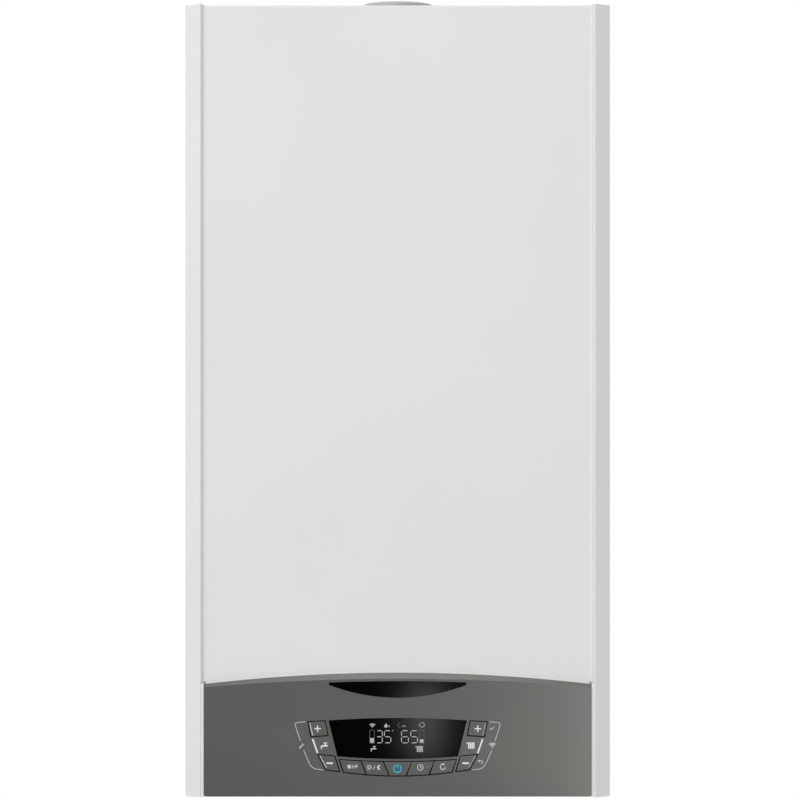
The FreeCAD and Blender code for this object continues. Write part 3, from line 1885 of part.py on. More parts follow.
# Heating pipes: flow and return of the exchanger, and the vessel's own pipe
flow_pipe = tube(
    "flow_tube",
    "z",
    ("0 - port_reach", "port_y"),
    ("block_top", "drum_bottom"),
    "pipe_radius",
    "pipe_radius - pipe_wall",
)
return_pipe = tube(
    "return_tube",
    "z",
    ("port_reach", "port_y"),
    ("pump_z + pump_rise", "drum_bottom"),
    "pipe_radius",
    "pipe_radius - pipe_wall",
)
vessel_pipe = bent_pipe(
    "vessel_tube",
    [
        ("0 - vessel_port_x", "vessel_front", "vessel_z - vessel_port_drop"),
        ("0 - vessel_port_x", "0 - vessel_pipe_setback", "vessel_z - vessel_port_drop"),
        ("0 - vessel_port_x", "0 - vessel_pipe_setback", "block_top"),
    ],
    "vessel_pipe_radius",
    "vessel_pipe_radius - pipe_wall",
    "vessel_pipe_bend",
)
piece("heating_pipes", group("pipe_group", flow_pipe, return_pipe, vessel_pipe))

# Flow block: brass manifold on the left, with the diverter's bore and the filling tap
diverter_line = ("0 - diverter_x", "diverter_y")
tap_left = ("0 - tap_x", "tap_z")
tap_right = ("tap_x", "tap_z")
spindle_span = ("tap_front - spindle_length", "tap_front")
tap_span = ("tap_front", "block_front")
block_depth_span = ("block_front", "block_rear")
block_rise = ("block_bottom", "block_top")
flow_outside = fuse(
    "flow_outside",
    block("flow_body", across("block_inner", "block_outer", -1), block_depth_span, block_rise),
    rod("filling_tap", "y", tap_left, tap_span, "tap_radius"),
    rod("filling_spindle", "y", tap_left, spindle_span, "spindle_radius"),
)
spool_bore = rod(
    "spool_bore",
    "z",
    diverter_line,
    ("spool_bottom - fit_gap", "spool_bottom + spool_length + spool_travel + fit_gap"),
    "spool_radius + pin_play",
)
stem_bore = rod(
    "stem_bore",
    "z",
    diverter_line,
    ("spool_bottom + spool_length", "block_top + overrun"),
    "spool_stem + pin_play",
)
piece("flow_block", cut("flow_cut", flow_outside, spool_bore, stem_bore))

# Diverter spool: piston and stem, lifted by the diverter motor
spool_top = "spool_bottom + spool_length"
piece(
    "diverter_spool",
    fuse(
        "spool_body",
        rod("spool_piston", "z", diverter_line, ("spool_bottom", spool_top), "spool_radius"),
        rod(
            "spool_rod",
            "z",
            diverter_line,
            (spool_top, "block_top + stem_engage"),
            "spool_stem",
        ),
    ),
)

# Diverter motor: geared motor on top of the flow block
piece(
    "diverter_motor",
    cut(
        "diverter_motor_cut",
        rod(
            "diverter_can",
            "z",
            diverter_line,
            ("block_top", "block_top + diverter_motor_height"),
            "diverter_motor_radius",
        ),
        rod(
            "diverter_can_bore",
            "z",
            diverter_line,
            ("block_top - overrun", "block_top + diverter_motor_bore"),
            "spool_stem + pin_play",
        ),
    ),
)

# Return block: brass manifold on the right, under the pump
piece(
    "return_block",
    block("return_body", ("block_inner", "block_outer"), block_depth_span, block_rise),
)

# Safety valve: body and spindle on the front of the return block
piece(
    "safety_valve",
    fuse(
        "safety_body",
        rod("safety_shank", "y", tap_right, tap_span, "tap_radius"),
        rod("safety_spindle", "y", tap_right, spindle_span, "spindle_radius"),
    ),
)

# Safety valve knob: fluted cap that turns on the spindle
knob = body("safety_valve_knob")
knob_round = circles(sketch_on(knob, "knob_round", "XZ_Plane"), [("0", "0")], "knob_radius")
pad(knob, "knob_pad", knob_round, "knob_depth")
knob_bore = circles(
    sketch_on(knob, "knob_bore", "XZ_Plane"), [("0", "0")], "spindle_radius + pin_play"
)
pocket(knob, "knob_bore_cut", knob_bore, "spindle_length", forwards=True)
flute_sketch = circles(
    sketch_on(knob, "knob_flute", "XZ_Plane"), [("knob_radius + knob_flute / 2", "0")], "knob_flute"
)
flute_cut = pocket(knob, "knob_flute_cut", flute_sketch, "knob_depth", forwards=True)
polar(knob, "knob_flutes", flute_cut, flute_sketch, FLUTE_COUNT)
place(knob, "tap_x", "tap_front - fit_gap", "tap_z")
piece("safety_valve_knob", knob)

# Filling tap handle: lever that turns on the tap's spindle
lever_front = "tap_front - fit_gap - lever_depth"
lever_depth_span = (lever_front, "tap_front - fit_gap")
piece(
    "filling_tap_handle",
    cut(
        "lever_cut",
        fuse(
            "lever_body",
            rod("lever_hub", "y", tap_left, lever_depth_span, "lever_hub"),
            block(
                "lever_arm",
                ("0 - tap_x - lever_half", "lever_half - tap_x"),
                lever_depth_span,
                ("tap_z - lever_length", "tap_z"),
            ),
        ),
        rod(
            "lever_bore",
            "y",
            tap_left,
            ("tap_front - spindle_length - fit_gap", "tap_front + overrun"),
            "spindle_radius + pin_play",
        ),
    ),
)

# Pump body: volute that stands on the return block
pump_line = ("pump_x", "pump_z")
outlet_line = ("port_reach", "port_y")
suction_line = ("pump_x", "port_y")
pump_outside = fuse(
    "pump_outside",
    rod("volute", "y", pump_line, ("pump_front", "pump_rear"), "pump_radius"),
    rod("pump_outlet", "z", outlet_line, ("pump_z", "pump_z + pump_rise"), "port_radius"),
    rod("pump_suction", "z", suction_line, ("block_top", "pump_z"), "pump_neck"),
)
piece(
    "pump_body",
    cut(
        "pump_cut",
        pump_outside,
        rod(
            "volute_hollow",
            "y",
            pump_line,
            ("pump_front + pump_wall", "pump_rear - pump_wall"),
            "pump_radius - pump_wall",
        ),
        rod(
            "pump_outlet_bore",
            "z",
            outlet_line,
            ("pump_z", "pump_z + pump_rise + overrun"),
            "pipe_radius - pipe_wall",
        ),
        rod(
            "pump_suction_bore",
            "z",
            suction_line,
            ("block_top - overrun", "pump_z"),
            "pump_neck - pump_wall",
        ),
        rod(
            "pump_shaft_hole",
            "y",
            pump_line,
            ("pump_rear - pump_wall - overrun", "pump_rear + overrun"),
            "pump_shaft + pin_play",
        ),
    ),
)

# Pump motor: can behind the volute
piece(
    "pump_motor",
    cut(
        "pump_motor_cut",
        rod(
            "pump_can",
            "y",
            pump_line,
            ("pump_rear", "pump_rear + pump_motor_depth"),
            "pump_motor_radius",
        ),
        rod(
            "pump_can_bore",
            "y",
            pump_line,
            ("pump_rear - overrun", "pump_rear + pump_shaft_reach + fit_gap"),
            "pump_shaft + pin_play",
        ),
    ),
)

# Pump impeller: plate, vanes and the shaft that runs into the motor
rotor = body("pump_impeller")
rotor_round = circles(sketch_on(rotor, "rotor_round", "XZ_Plane"), [("0", "0")], "rotor_radius")
pad(rotor, "rotor_plate_pad", rotor_round, "rotor_plate")
rotor_shaft = circles(sketch_on(rotor, "rotor_shaft", "XZ_Plane"), [("0", "0")], "pump_shaft")
pad(
    rotor,
    "rotor_shaft_pad",
    rotor_shaft,
    "pump_rear - rotor_face + pump_shaft_reach",
    backwards=True,
)
vane_sketch = outline(
    sketch_on(rotor, "rotor_vane", "XZ_Plane"),
    [
        ("rotor_hub", "0 - rotor_vane_thick / 2"),
        ("rotor_radius - rotor_vane_thick", "0 - rotor_vane_thick / 2"),
        ("rotor_radius - rotor_vane_thick", "rotor_vane_thick / 2"),
        ("rotor_hub", "rotor_vane_thick / 2"),
    ],
)
vane_pad = pad(rotor, "rotor_vane_pad", vane_sketch, "rotor_vane")
polar(rotor, "rotor_vanes", vane_pad, vane_sketch, VANE_COUNT)
place(rotor, "pump_x", "rotor_face", "pump_z")
piece("pump_impeller", rotor)

# Plate exchanger: brazed stack of plates on the front of the two blocks
stack = body("plate_exchanger")


def plate_outline(name, inset):
    return outline(
        sketch_on(stack, name, "XZ_Plane"),
        [
            (f"{inset} - plates_half", f"{inset}"),
            (f"plates_half - {inset}", f"{inset}"),
            (f"plates_half - {inset}", f"plates_height - {inset}"),
            (f"{inset} - plates_half", f"plates_height - {inset}"),
        ],
    )


stack_length = f"{PLATE_COUNT - 1} * plates_step"
pad(
    stack,
    "stack_core",
    plate_outline("core_outline", "plates_inset"),
    f"{stack_length} + plates_thick",
)
plate_sketch = plate_outline("plate_outline", "0")
plate_pad = pad(stack, "stack_plate", plate_sketch, "plates_thick")
plate_row = stack.newObject("PartDesign::LinearPattern", "stack_plates")
plate_row.Originals = [plate_pad]
plate_row.Direction = (plate_sketch, ["N_Axis"])
plate_row.Occurrences = PLATE_COUNT
bind(plate_row, "Length", stack_length)
stack.Tip = plate_row
place(stack, y="block_front", z="floor + plates_low")
piece("plate_exchanger", stack)

# Flow sensor: tube on the cold water tail, with two bearing bars for the turbine
cold_line = ("tail_pitch", "tail_y")
sensor_tube = tube(
    "sensor_tube", "z", cold_line, ("short_top", "block_bottom"), "sensor_radius", "sensor_bore"
)
BARS = (("low", "short_top"), ("high", "block_bottom - bearing_bar"))
bars = [
    block(
        f"{word}_bar",
        ("tail_pitch - sensor_bore - bearing_bar / 2", "tail_pitch + sensor_bore + bearing_bar / 2"),
        ("tail_y - bearing_bar", "tail_y + bearing_bar"),
        (level, f"{level} + bearing_bar"),
    )
    for word, level in BARS
]
axle_hole = rod(
    "axle_hole",
    "z",
    cold_line,
    ("short_top - overrun", "block_bottom + overrun"),
    "axle_radius + pin_play",
)
piece("flow_sensor", cut("sensor_cut", fuse("sensor_body", sensor_tube, *bars), axle_hole))

# Flow turbine: axle with flat blades between the bearing bars
turbine_span = ("short_mid - turbine_depth / 2", "short_mid + turbine_depth / 2")
turbine_blades = [
    block(
        "turbine_blade_across",
        ("tail_pitch - turbine_radius", "tail_pitch + turbine_radius"),
        ("tail_y - turbine_blade / 2", "tail_y + turbine_blade / 2"),
        turbine_span,
    ),
    block(
        "turbine_blade_deep",
        ("tail_pitch - turbine_blade / 2", "tail_pitch + turbine_blade / 2"),
        ("tail_y - turbine_radius", "tail_y + turbine_radius"),
        turbine_span,
    ),
]
turbine_axle = rod(
    "turbine_axle",
    "z",
    cold_line,
    ("short_top + fit_gap", "block_bottom - fit_gap"),
    "axle_radius",
)
piece("flow_turbine", fuse("turbine_body", turbine_axle, *turbine_blades))

doc.recompute()
faults = [made.Name for made in doc.Objects if {"Invalid", "Error"} & set(made.State)]
for made in SUB_PARTS:
    shape = made.Shape
    if shape.isNull() or not shape.isValid() or not shape.Solids:
        faults.append(made.Label)
if faults:
    raise SystemExit("not built: " + ", ".join(faults))

os.makedirs("parts", exist_ok=True)
for made in SUB_PARTS:
    made.Shape.exportStep(f"parts/{made.Label}.step")
    box = made.Shape.BoundBox
    print(
        f"{made.Label}: {len(made.Shape.Solids)} solids, {made.Shape.Volume / 1000:.1f} cm3,"
        f" x {box.XMin:.1f} {box.XMax:.1f} y {box.YMin:.1f} {box.YMax:.1f}"
        f" z {box.ZMin:.1f} {box.ZMax:.1f}"
    )
print(len(SUB_PARTS), "sub-parts")
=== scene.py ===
import json
import math

import bmesh
import bpy
import numpy as np
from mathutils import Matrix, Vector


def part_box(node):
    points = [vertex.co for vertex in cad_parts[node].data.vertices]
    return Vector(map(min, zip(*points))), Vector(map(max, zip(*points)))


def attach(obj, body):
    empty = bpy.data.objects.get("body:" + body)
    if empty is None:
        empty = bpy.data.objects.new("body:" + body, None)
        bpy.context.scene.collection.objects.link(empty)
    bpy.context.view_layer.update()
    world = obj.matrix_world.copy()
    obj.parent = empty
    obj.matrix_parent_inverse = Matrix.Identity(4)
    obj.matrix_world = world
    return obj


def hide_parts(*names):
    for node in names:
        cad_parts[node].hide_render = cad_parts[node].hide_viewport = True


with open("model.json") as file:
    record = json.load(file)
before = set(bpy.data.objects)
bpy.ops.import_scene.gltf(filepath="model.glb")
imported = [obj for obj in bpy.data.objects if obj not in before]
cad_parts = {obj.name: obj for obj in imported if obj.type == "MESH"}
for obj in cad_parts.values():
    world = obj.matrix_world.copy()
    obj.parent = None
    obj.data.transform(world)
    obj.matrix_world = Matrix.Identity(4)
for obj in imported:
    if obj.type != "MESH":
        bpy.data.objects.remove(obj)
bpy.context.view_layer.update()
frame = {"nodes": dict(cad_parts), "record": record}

# Camera: a long lens three metres off, level with the middle of the case and square to
# its front, so that all uprights stay upright and the sides hardly show.
case_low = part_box("back_panel")[0].z
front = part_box("display_window")[0].y
view_distance = 3.0
view_width = 0.7509
view_height = 0.3731
view_across = 0.0022
view_end = 60.0
lens = bpy.data.cameras.new("photo_camera")
lens.lens = lens.sensor_width * view_distance / view_width
lens.clip_end = view_end
camera = bpy.data.objects.new("photo_camera", lens)
camera.location = (view_across, front - view_distance, case_low + view_height)
camera.rotation_euler = (math.radians(90), 0, 0)
bpy.context.collection.objects.link(camera)
bpy.context.scene.camera = camera
bpy.context.scene.view_settings.view_transform = "Standard"


# Studio: a pale room, dimmer behind the camera and brighter overhead, that is seen as white paper
# behind the case. Soft lamps stand in front, and a wide painted floor lies three metres below the
# hanging case, so that the case can be seen from below too.
def linear(text):
    """A hex colour as linear light: each channel through the sRGB curve."""
    shares = np.array([int(text[at:at + 2], 16) for at in (1, 3, 5)]) / 255
    curved = np.where(shares <= 0.04045, shares / 12.92, ((shares + 0.055) / 1.055) ** 2.4)
    return (*curved.tolist(), 1.0)


def add(tree, kind, inputs=(), **settings):
    """Adds a node, sets its properties and fills or links its inputs."""
    made = tree.nodes.new(kind)
    for name, setting in settings.items():
        setattr(made, name, setting)
    for name, given in dict(inputs).items():
        if isinstance(given, bpy.types.NodeSocket):
            tree.links.new(given, made.inputs[name])
        else:
            made.inputs[name].default_value = given
    return made


room = bpy.data.worlds.new("studio")
room.use_nodes = True
tree = room.node_tree
tree.nodes.clear()
white = linear("#FFFFFF")
heading = add(tree, "ShaderNodeTexCoord")
facing = add(tree, "ShaderNodeSeparateXYZ", {"Vector": heading.outputs["Generated"]})
wall_range = {"From Min": -1.0, "From Max": -0.2, "To Min": 0.04, "To Max": 0.54}
ceiling_range = {"From Min": 0.1, "From Max": 0.9, "To Min": 0.0, "To Max": 0.5}
walls = add(tree, "ShaderNodeMapRange", {"Value": facing.outputs["Y"], **wall_range})
ceiling = add(tree, "ShaderNodeMapRange", {"Value": facing.outputs["Z"], **ceiling_range})
both = add(tree, "ShaderNodeMath", {0: walls.outputs["Result"], 1: ceiling.outputs["Result"]})
glow = add(tree, "ShaderNodeBackground", {"Color": white, "Strength": both.outputs[0]})
paper = add(tree, "ShaderNodeBackground", {"Color": white, "Strength": 1.0})
rays = add(tree, "ShaderNodeLightPath")
seen = add(
    tree,
    "ShaderNodeMixShader",
    {0: rays.outputs["Is Camera Ray"], 1: glow.outputs[0], 2: paper.outputs[0]},
)
add(tree, "ShaderNodeOutputWorld", {"Surface": seen.outputs[0]})
bpy.context.scene.world = room


def soft_box(name, place, aim, wide, high, watts):
    """A rectangular light at a place, turned so that its face looks at the aim."""
    light = bpy.data.lights.new(name, "AREA")
    light.shape = "RECTANGLE"
    light.size = wide
    light.size_y = high
    light.energy = watts
    lamp = bpy.data.objects.new(name, light)
    lamp.location = place
    way = np.array(aim) - np.array(place)
    lamp.rotation_euler = (
        math.pi / 2 + math.atan2(way[2], math.hypot(way[0], way[1])),
        0,
        math.atan2(way[1], way[0]) - math.pi / 2,
    )
    bpy.context.collection.objects.link(lamp)
    return lamp


case_middle = (0, front, case_low + 0.42)
soft_box(
    "key_light", place=(-2.0, front - 2.6, 1.5), aim=case_middle, wide=1.8, high=1.8, watts=57
)
# A broad fill from the front that leaves no reflection, and two lamps that only the gloss of
# the front controls sees: a sheen on the right, and a light overhead for the bevelled arch.
fill = soft_box(
    "fill_light",
    place=(0.6, front - 3.1, case_low + 0.5),
    aim=case_middle,
    wide=2.0,
    high=2.0,
    watts=22,
)
fill.visible_glossy = False
sheen = soft_box(
    "sheen_light",
    place=(0.42, front - 0.35, case_low + 0.03),
    aim=(0.18, front, case_low + 0.06),
    wide=0.25,
    high=0.35,
    watts=1.9,
)
overhead = soft_box(
    "bevel_light",
    place=(0, front - 0.3, 1.3),
    aim=(0, front, case_low),
    wide=1.6,
    high=0.9,
    watts=3.4,
)
controls = bpy.data.collections.new("front_controls")
for lamp in (sheen, overhead):
    lamp.visible_diffuse = False
    lamp.light_linking.receiver_collection = controls


def surface(name):
    """An empty material, its node tree, and the piece's own place in metres."""
    made = bpy.data.materials.new(name)
    made.use_nodes = True
    made.node_tree.nodes.clear()
    place = add(made.node_tree, "ShaderNodeTexCoord")
    return made, made.node_tree, place.outputs["Object"]


def shaded(tree, inputs):
    """Ends a material's tree with a shader that takes these inputs."""
    shader = add(tree, "ShaderNodeBsdfPrincipled", inputs)
    add(tree, "ShaderNodeOutputMaterial", {"Surface": shader.outputs[0]})


def grained(name, hexes, patch_mm, grain_mm, relief_mm, roughness, **sockets):
    """A surface whose colour and roughness drift over patches of one size, with a finer grain
    of another size that stands up by the relief. The real grain of most of these finishes is a
    tenth of a millimetre or less, and is drawn about a millimetre wide so that it shows."""
    made, tree, place = surface(name)
    drift, grain = (
        add(tree, "ShaderNodeTexNoise", {"Vector": place, "Scale": 1000 / wide_mm, "Detail": detail})
        for wide_mm, detail in ((patch_mm, 3.0), (grain_mm, 2.0))
    )
    spread = add(
        tree,
        "ShaderNodeMapRange",
        {"Value": drift.outputs["Fac"], "From Min": 0.3, "From Max": 0.7},
    )
    shade = add(
        tree,
        "ShaderNodeMix",
        {0: spread.outputs["Result"], 6: linear(hexes[0]), 7: linear(hexes[1])},
        data_type="RGBA",
    )
    worn = add(
        tree,
        "ShaderNodeMapRange",
        {"Value": drift.outputs["Fac"], "To Min": roughness[0], "To Max": roughness[1]},
    )
    raised = add(
        tree,
        "ShaderNodeBump",
        {"Height": grain.outputs["Fac"], "Strength": 0.6, "Distance": relief_mm / 1000},
    )
    inputs = {socket.replace("_", " "): number for socket, number in sockets.items()}
    inputs["Base Color"] = shade.outputs[2]
    inputs["Roughness"] = worn.outputs["Result"]
    inputs["Normal"] = raised.outputs["Normal"]
    shaded(tree, inputs)
    return made


weld = 1e-7
sharp_turn = math.radians(40)


def assembled(name, parts, material):
    """One mesh from several lists of points and faces, with points at one place made one."""
    starts = np.cumsum([0] + [len(points) for points, faces in parts])
    places = np.vstack([points for points, faces in parts])
    faces = [row for start, (points, rows) in zip(starts, parts) for row in (rows + start).tolist()]
    mesh = bpy.data.meshes.new(name)
    mesh.from_pydata(places.tolist(), [], faces)
    joined = bmesh.new()
    joined.from_mesh(mesh)
    bmesh.ops.remove_doubles(joined, verts=joined.verts, dist=weld)
    joined.to_mesh(mesh)
    joined.free()
    mesh.shade_smooth()
    mesh.set_sharp_from_angle(angle=sharp_turn)
    mesh.materials.append(material)
    made = bpy.data.objects.new(name, mesh)
    bpy.context.collection.objects.link(made)
    return made


# Rolled floor paint looks even and matt, with only a slow drift of tone.
floor_paint = grained(
    "pale_floor_paint", ("#E9E9E8", "#EBEBEA"),
    patch_mm=900, grain_mm=5, relief_mm=0.05, roughness=(0.6, 0.7),
)
floor_reach = 22.0
floor_drop = 3.0
floor_corners = np.arange(128)
floor_turn = floor_corners * 2 * np.pi / len(floor_corners)
floor_rim = np.column_stack(
    [
        floor_reach * np.cos(floor_turn),
        floor_reach * np.sin(floor_turn),
        np.full(len(floor_corners), case_low - floor_drop),
    ]
)
floor = assembled("floor", [(floor_rim, floor_corners[None])], floor_paint)
floor.visible_glossy = False


# Chassis: back panel, bottom plate and brackets that carry everything else, cut and folded from
# galvanised steel sheet and screwed together.
def coat(material, *names):
    """Gives CAD nodes a material."""
    for name in names:
        slots = frame["nodes"][name].data.materials
        slots.clear()
        slots.append(material)


# Hot-dip zinc freezes into crystals, which show as flat patches with ragged edges, each of a
# slightly different grey and gloss.
spangle_mm = 15
ragged_mm = 14
ragged_reach = 0.012
zinc, tree, place = surface("hot_dip_galvanised_sheet")
wander = add(tree, "ShaderNodeTexNoise", {"Vector": place, "Scale": 1000 / ragged_mm, "Detail": 2.0})
bent = add(
    tree,
    "ShaderNodeVectorMath",
    {0: wander.outputs["Color"], 1: (ragged_reach, ragged_reach, ragged_reach), 2: place},
    operation="MULTIPLY_ADD",
)
spangle = add(tree, "ShaderNodeTexVoronoi", {"Vector": bent.outputs[0], "Scale": 1000 / spangle_mm})
shade = add(
    tree,
    "ShaderNodeMix",
    {0: spangle.outputs["Color"], 6: linear("#A2A7A9"), 7: linear("#B2B7B9")},
    data_type="RGBA",
)
dulled = add(
    tree, "ShaderNodeMapRange", {"Value": spangle.outputs["Color"], "To Min": 0.36, "To Max": 0.46}
)
shaded(tree, {"Base Color": shade.outputs[2], "Roughness": dulled.outputs["Result"], "Metallic": 0.8})
coat(zinc, "back_panel", "bottom_plate", "hinge_brackets", "exchanger_brackets")

# Case: side panels with bevelled front strips, top panel and front cover, folded from sheet steel
# and coated. The sides and top are screwed to the chassis, and the cover hangs on two pegs.
# Powder coat flows out to a faint orange peel with a satin sheen.
powder_coat = grained(
    "white_powder_coat", ("#E1E1E1", "#E4E4E4"),
    patch_mm=180, grain_mm=1.6, relief_mm=0.012, roughness=(0.36, 0.42), IOR=1.5,
)
coat(powder_coat, "front_cover", "left_side_panel", "right_side_panel", "top_panel")

# End plugs: caps moulded in white nylon and pushed into the open ends of the folded strips. Their
# corners are given inwards from the case's side and back from its front.
case_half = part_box("right_side_panel")[1].x
cover_low, cover_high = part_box("front_cover")
plug_corners = np.array(
    [(0.0014, 0.0197), (0.0162, 0.0197), (0.0162, 0.0064), (0.0142, 0.0020), (0.0014, 0.0126)]
)
plug_outline = np.array([case_half, front]) + plug_corners * (-1, 1)
plug_thick = 0.005
plug_foot = 0.0005


def rails(lines):
    """A solid bar between lines of points: each line joined to the next, the ends closed."""
    around, count = np.shape(lines)[:2]
    at, along = np.meshgrid(np.arange(around), np.arange(count - 1), indexing="ij")
    here = at * count + along
    beside = (at + 1) % around * count + along
    faces = np.stack([here, here + 1, beside + 1, beside], axis=-1).reshape(-1, 4)
    starts = np.arange(around) * count
    points = np.vstack(lines)
    return [(points, faces), (points, np.array([starts, starts[::-1] + count - 1]))]


def bar(outline, first, last, axis):
    """An outline carried straight from one place to another along an axis: 0 across, 1 back, 2 up."""
    ends = [np.insert(outline, axis, place, axis=1) for place in (first, last)]
    return rails(np.stack(ends, axis=1))


plugs = []
for side in (-1, 1):
    rim = (plug_outline * (side, 1))[::-side]
    for foot in (case_low + plug_foot, cover_high.z - plug_thick):
        plugs += bar(rim, foot, foot + plug_thick, axis=2)
# Moulded nylon has an even, slightly waxy skin.
nylon = grained(
    "moulded_white_nylon", ("#D4D4D2", "#DADAD8"),
    patch_mm=25, grain_mm=0.8, relief_mm=0.015, roughness=(0.45, 0.55),
)
end_plugs = assembled("strip_end_plugs", plugs, nylon)
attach(end_plugs, "case")

# Connection tails: five brass stubs turned from bar, with a pipe thread on the lower end,
# each held up against the bottom plate by a chamfered hexagon nut.
thread_pitch = 0.001814
thread_depth = 0.00116
thread_lead = 0.0018
thread_steps = 6
tail_wall = 0.0025
nut_corner = 0.018
nut_height = 0.008
nut_chamfer = 0.0014
nut_cut_share = 0.2
nut_sunk = 0.0005
ring_steps = 48
ring_angles = np.linspace(0, 2 * np.pi, ring_steps, endpoint=False)
plate_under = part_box("bottom_plate")[0].z


def tube_faces(rings, around):
    """Faces between rings: each point joined to the next on its ring and to both on the next ring."""
    ring, step = np.meshgrid(np.arange(rings - 1), np.arange(around), indexing="ij")
    here = ring * around + step
    beside = ring * around + (step + 1) % around
    return np.stack([here, beside, beside + around, here + around], axis=-1).reshape(-1, 4)


def turned(radii, heights, centre):
    """Rings about an upright line, one at each height, each joined to the next. A ring has one
    radius, or a radius for each angle."""
    size = np.stack([np.broadcast_to(radius, ring_steps) for radius in radii])
    across = centre[0] + size * np.cos(ring_angles)
    back = centre[1] + size * np.sin(ring_angles)
    level = np.broadcast_to(np.asarray(heights)[:, None], size.shape)
    points = np.stack([across, back, level], axis=-1).reshape(-1, 3)
    return points, tube_faces(len(heights), ring_steps)


def threaded_tail(centre, foot, top, radius):
    """A tube whose outside falls from the crest to the root and back once in each pitch along
    the helix, with a lead-in cone at the foot."""
    nut_low = plate_under - nut_height
    levels = np.arange(foot, nut_low, thread_pitch / thread_steps)
    turn = (levels[:, None] / thread_pitch - ring_angles / (2 * np.pi)) % 1
    crest = radius - thread_depth * np.abs(2 * turn - 1)
    lead = radius - np.maximum(thread_lead - (levels - foot), 0)
    outside = np.minimum(crest, lead[:, None])
    bore = radius - tail_wall
    radii = [bore, bore, *outside, radius, radius, bore]
    heights = [top, foot, *levels, nut_low, top, top]
    return turned(radii, heights, centre)


def chamfered_nut(centre, radius):
    """A hexagon whose corners are cut back by a cone at both ends: at each angle the side stands
    as far out as the flat divided by the cosine of the angle from the flat's middle."""
    flat = nut_corner * math.cos(math.pi / 6)
    hexagon = flat / np.cos(ring_angles % (np.pi / 3) - np.pi / 6)
    cut = np.minimum(hexagon, flat + (nut_corner - flat) * nut_cut_share)
    hole = radius - nut_sunk
    low = plate_under - nut_height
    radii = [hole, cut, hexagon, hexagon, cut, hole, hole]
    heights = [low, low, low + nut_chamfer, plate_under - nut_chamfer, plate_under, plate_under, low]
    return turned(radii, heights, centre)


tail_tops = {
    "heating_flow_tail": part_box("flow_block")[0].z,
    "hot_water_tail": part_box("flow_block")[0].z,
    "gas_tail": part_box("gas_pipe")[0].z,
    "cold_water_tail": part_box("flow_sensor")[0].z,
    "heating_return_tail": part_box("return_block")[0].z,
}
tails = []
for mount in frame["record"]["mounts"]:
    if mount["name"] in tail_tops:
        x, y, foot = mount["pos_m"]
        radius = mount["dims"]["r_mm"] / 1000
        tails.append(threaded_tail((x, y), foot, tail_tops[mount["name"]], radius))
        tails.append(chamfered_nut((x, y), radius))
# Turned brass is warm and bright, dulled in patches by handling.
brass = grained(
    "turned_brass", ("#B4954F", "#C6A962"),
    patch_mm=9, grain_mm=0.8, relief_mm=0.01, roughness=(0.24, 0.38), Metallic=1.0,
)
threaded_tails = assembled("threaded_tails", tails, brass)
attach(threaded_tails, "case")
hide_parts("connection_tails")
coat(brass, "connection_tails", "safety_valve", "diverter_spool")

# Heat cell: a drum moulded in nylon round a coil of stainless tube, closed by a die-cast door on
# studs. The door carries burner and electrodes, raised ribs, and a sight glass in a brass bezel.
# Glass-filled nylon leaves the mould dark, dry and slightly mottled.
glass_nylon = grained(
    "glass_filled_grey_nylon", ("#54585A", "#606567"),
    patch_mm=14, grain_mm=0.9, relief_mm=0.03, roughness=(0.45, 0.6),
)
coat(glass_nylon, "exchanger_shell", "condensate_trap", "flow_block", "return_block", "flow_sensor")
coat(glass_nylon, "flow_turbine", "pump_impeller")
# Drawn stainless steel is cool grey and fairly bright.
stainless = grained(
    "drawn_stainless_steel", ("#A2A4A5", "#B4B6B7"),
    patch_mm=6, grain_mm=0.8, relief_mm=0.01, roughness=(0.24, 0.36), Metallic=1.0,
)
coat(stainless, "exchanger_coil", "burner", "plate_exchanger", "gas_plunger")
# Die-cast aluminium keeps a dull, pale casting skin with a fine pebble.
cast_aluminium = grained(
    "die_cast_aluminium", ("#A9ACAE", "#B8BBBD"),
    patch_mm=25, grain_mm=1.1, relief_mm=0.05, roughness=(0.45, 0.6), Metallic=0.6,
)
coat(cast_aluminium, "burner_door", "fan_housing", "mixer_duct", "gas_valve")
# Glazed ceramic is creamy and glossy.
ceramic = grained(
    "glazed_ceramic", ("#E2DDD1", "#EBE7DD"),
    patch_mm=12, grain_mm=1.5, relief_mm=0.01, roughness=(0.2, 0.28),
)
coat(ceramic, "electrodes")
coat(zinc, "door_nuts")
door_low, door_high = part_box("burner_door")
door_middle = ((door_low.x + door_high.x) / 2, (door_low.z + door_high.z) / 2)
door_ring = (0.1, 0.106)
door_ring_height = 0.0015
door_ribs = (0.045, 0.1)
door_rib_width = 0.005
door_rib_height = 0.0012
door_rib_angles = (12, 66, 90, 114, 140, 166, 194, 320, 346)
sight_place = (door_middle[0] + 0.058, door_middle[1] + 0.047)
sight_ring = (0.0075, 0.011)
sight_height = 0.004
sight_depth = 0.0025
ring_bevel = 0.0005


def boss(inner, outer, face, height, middle):
    """A ring, or a disc where the inner radius is zero, that stands forward from a face: rings
    about an upright line, bevelled at the front, then turned so that up becomes forward. A disc
    has no inner wall, so its last ring is left out."""
    bevel = min(ring_bevel, height)
    high = height - face
    radii = [inner, outer, outer, outer - bevel, inner, inner]
    levels = [-face, -face, high - bevel, high, high, -face]
    count = 6 if inner else 5
    points, faces = turned(radii[:count], levels[:count], (0, 0))
    return np.column_stack([middle[0] + points[:, 0], -points[:, 2], middle[1] + points[:, 1]]), faces


def spokes(middle, degrees, inner, outer, width, face, height):
    """Bars that stand on a round face: each runs outwards at its angle, with both sides half
    its width from that line."""
    reach = np.array([inner, outer, outer, inner])[:, None]
    half = np.array([1, 1, -1, -1])[:, None] * width / 2
    made = []
    for angle in np.radians(degrees):
        along = np.array([math.cos(angle), math.sin(angle)])
        aside = np.array([-along[1], along[0]])
        made += bar(middle + reach * along + half * aside, face, face - height, axis=1)
    return made


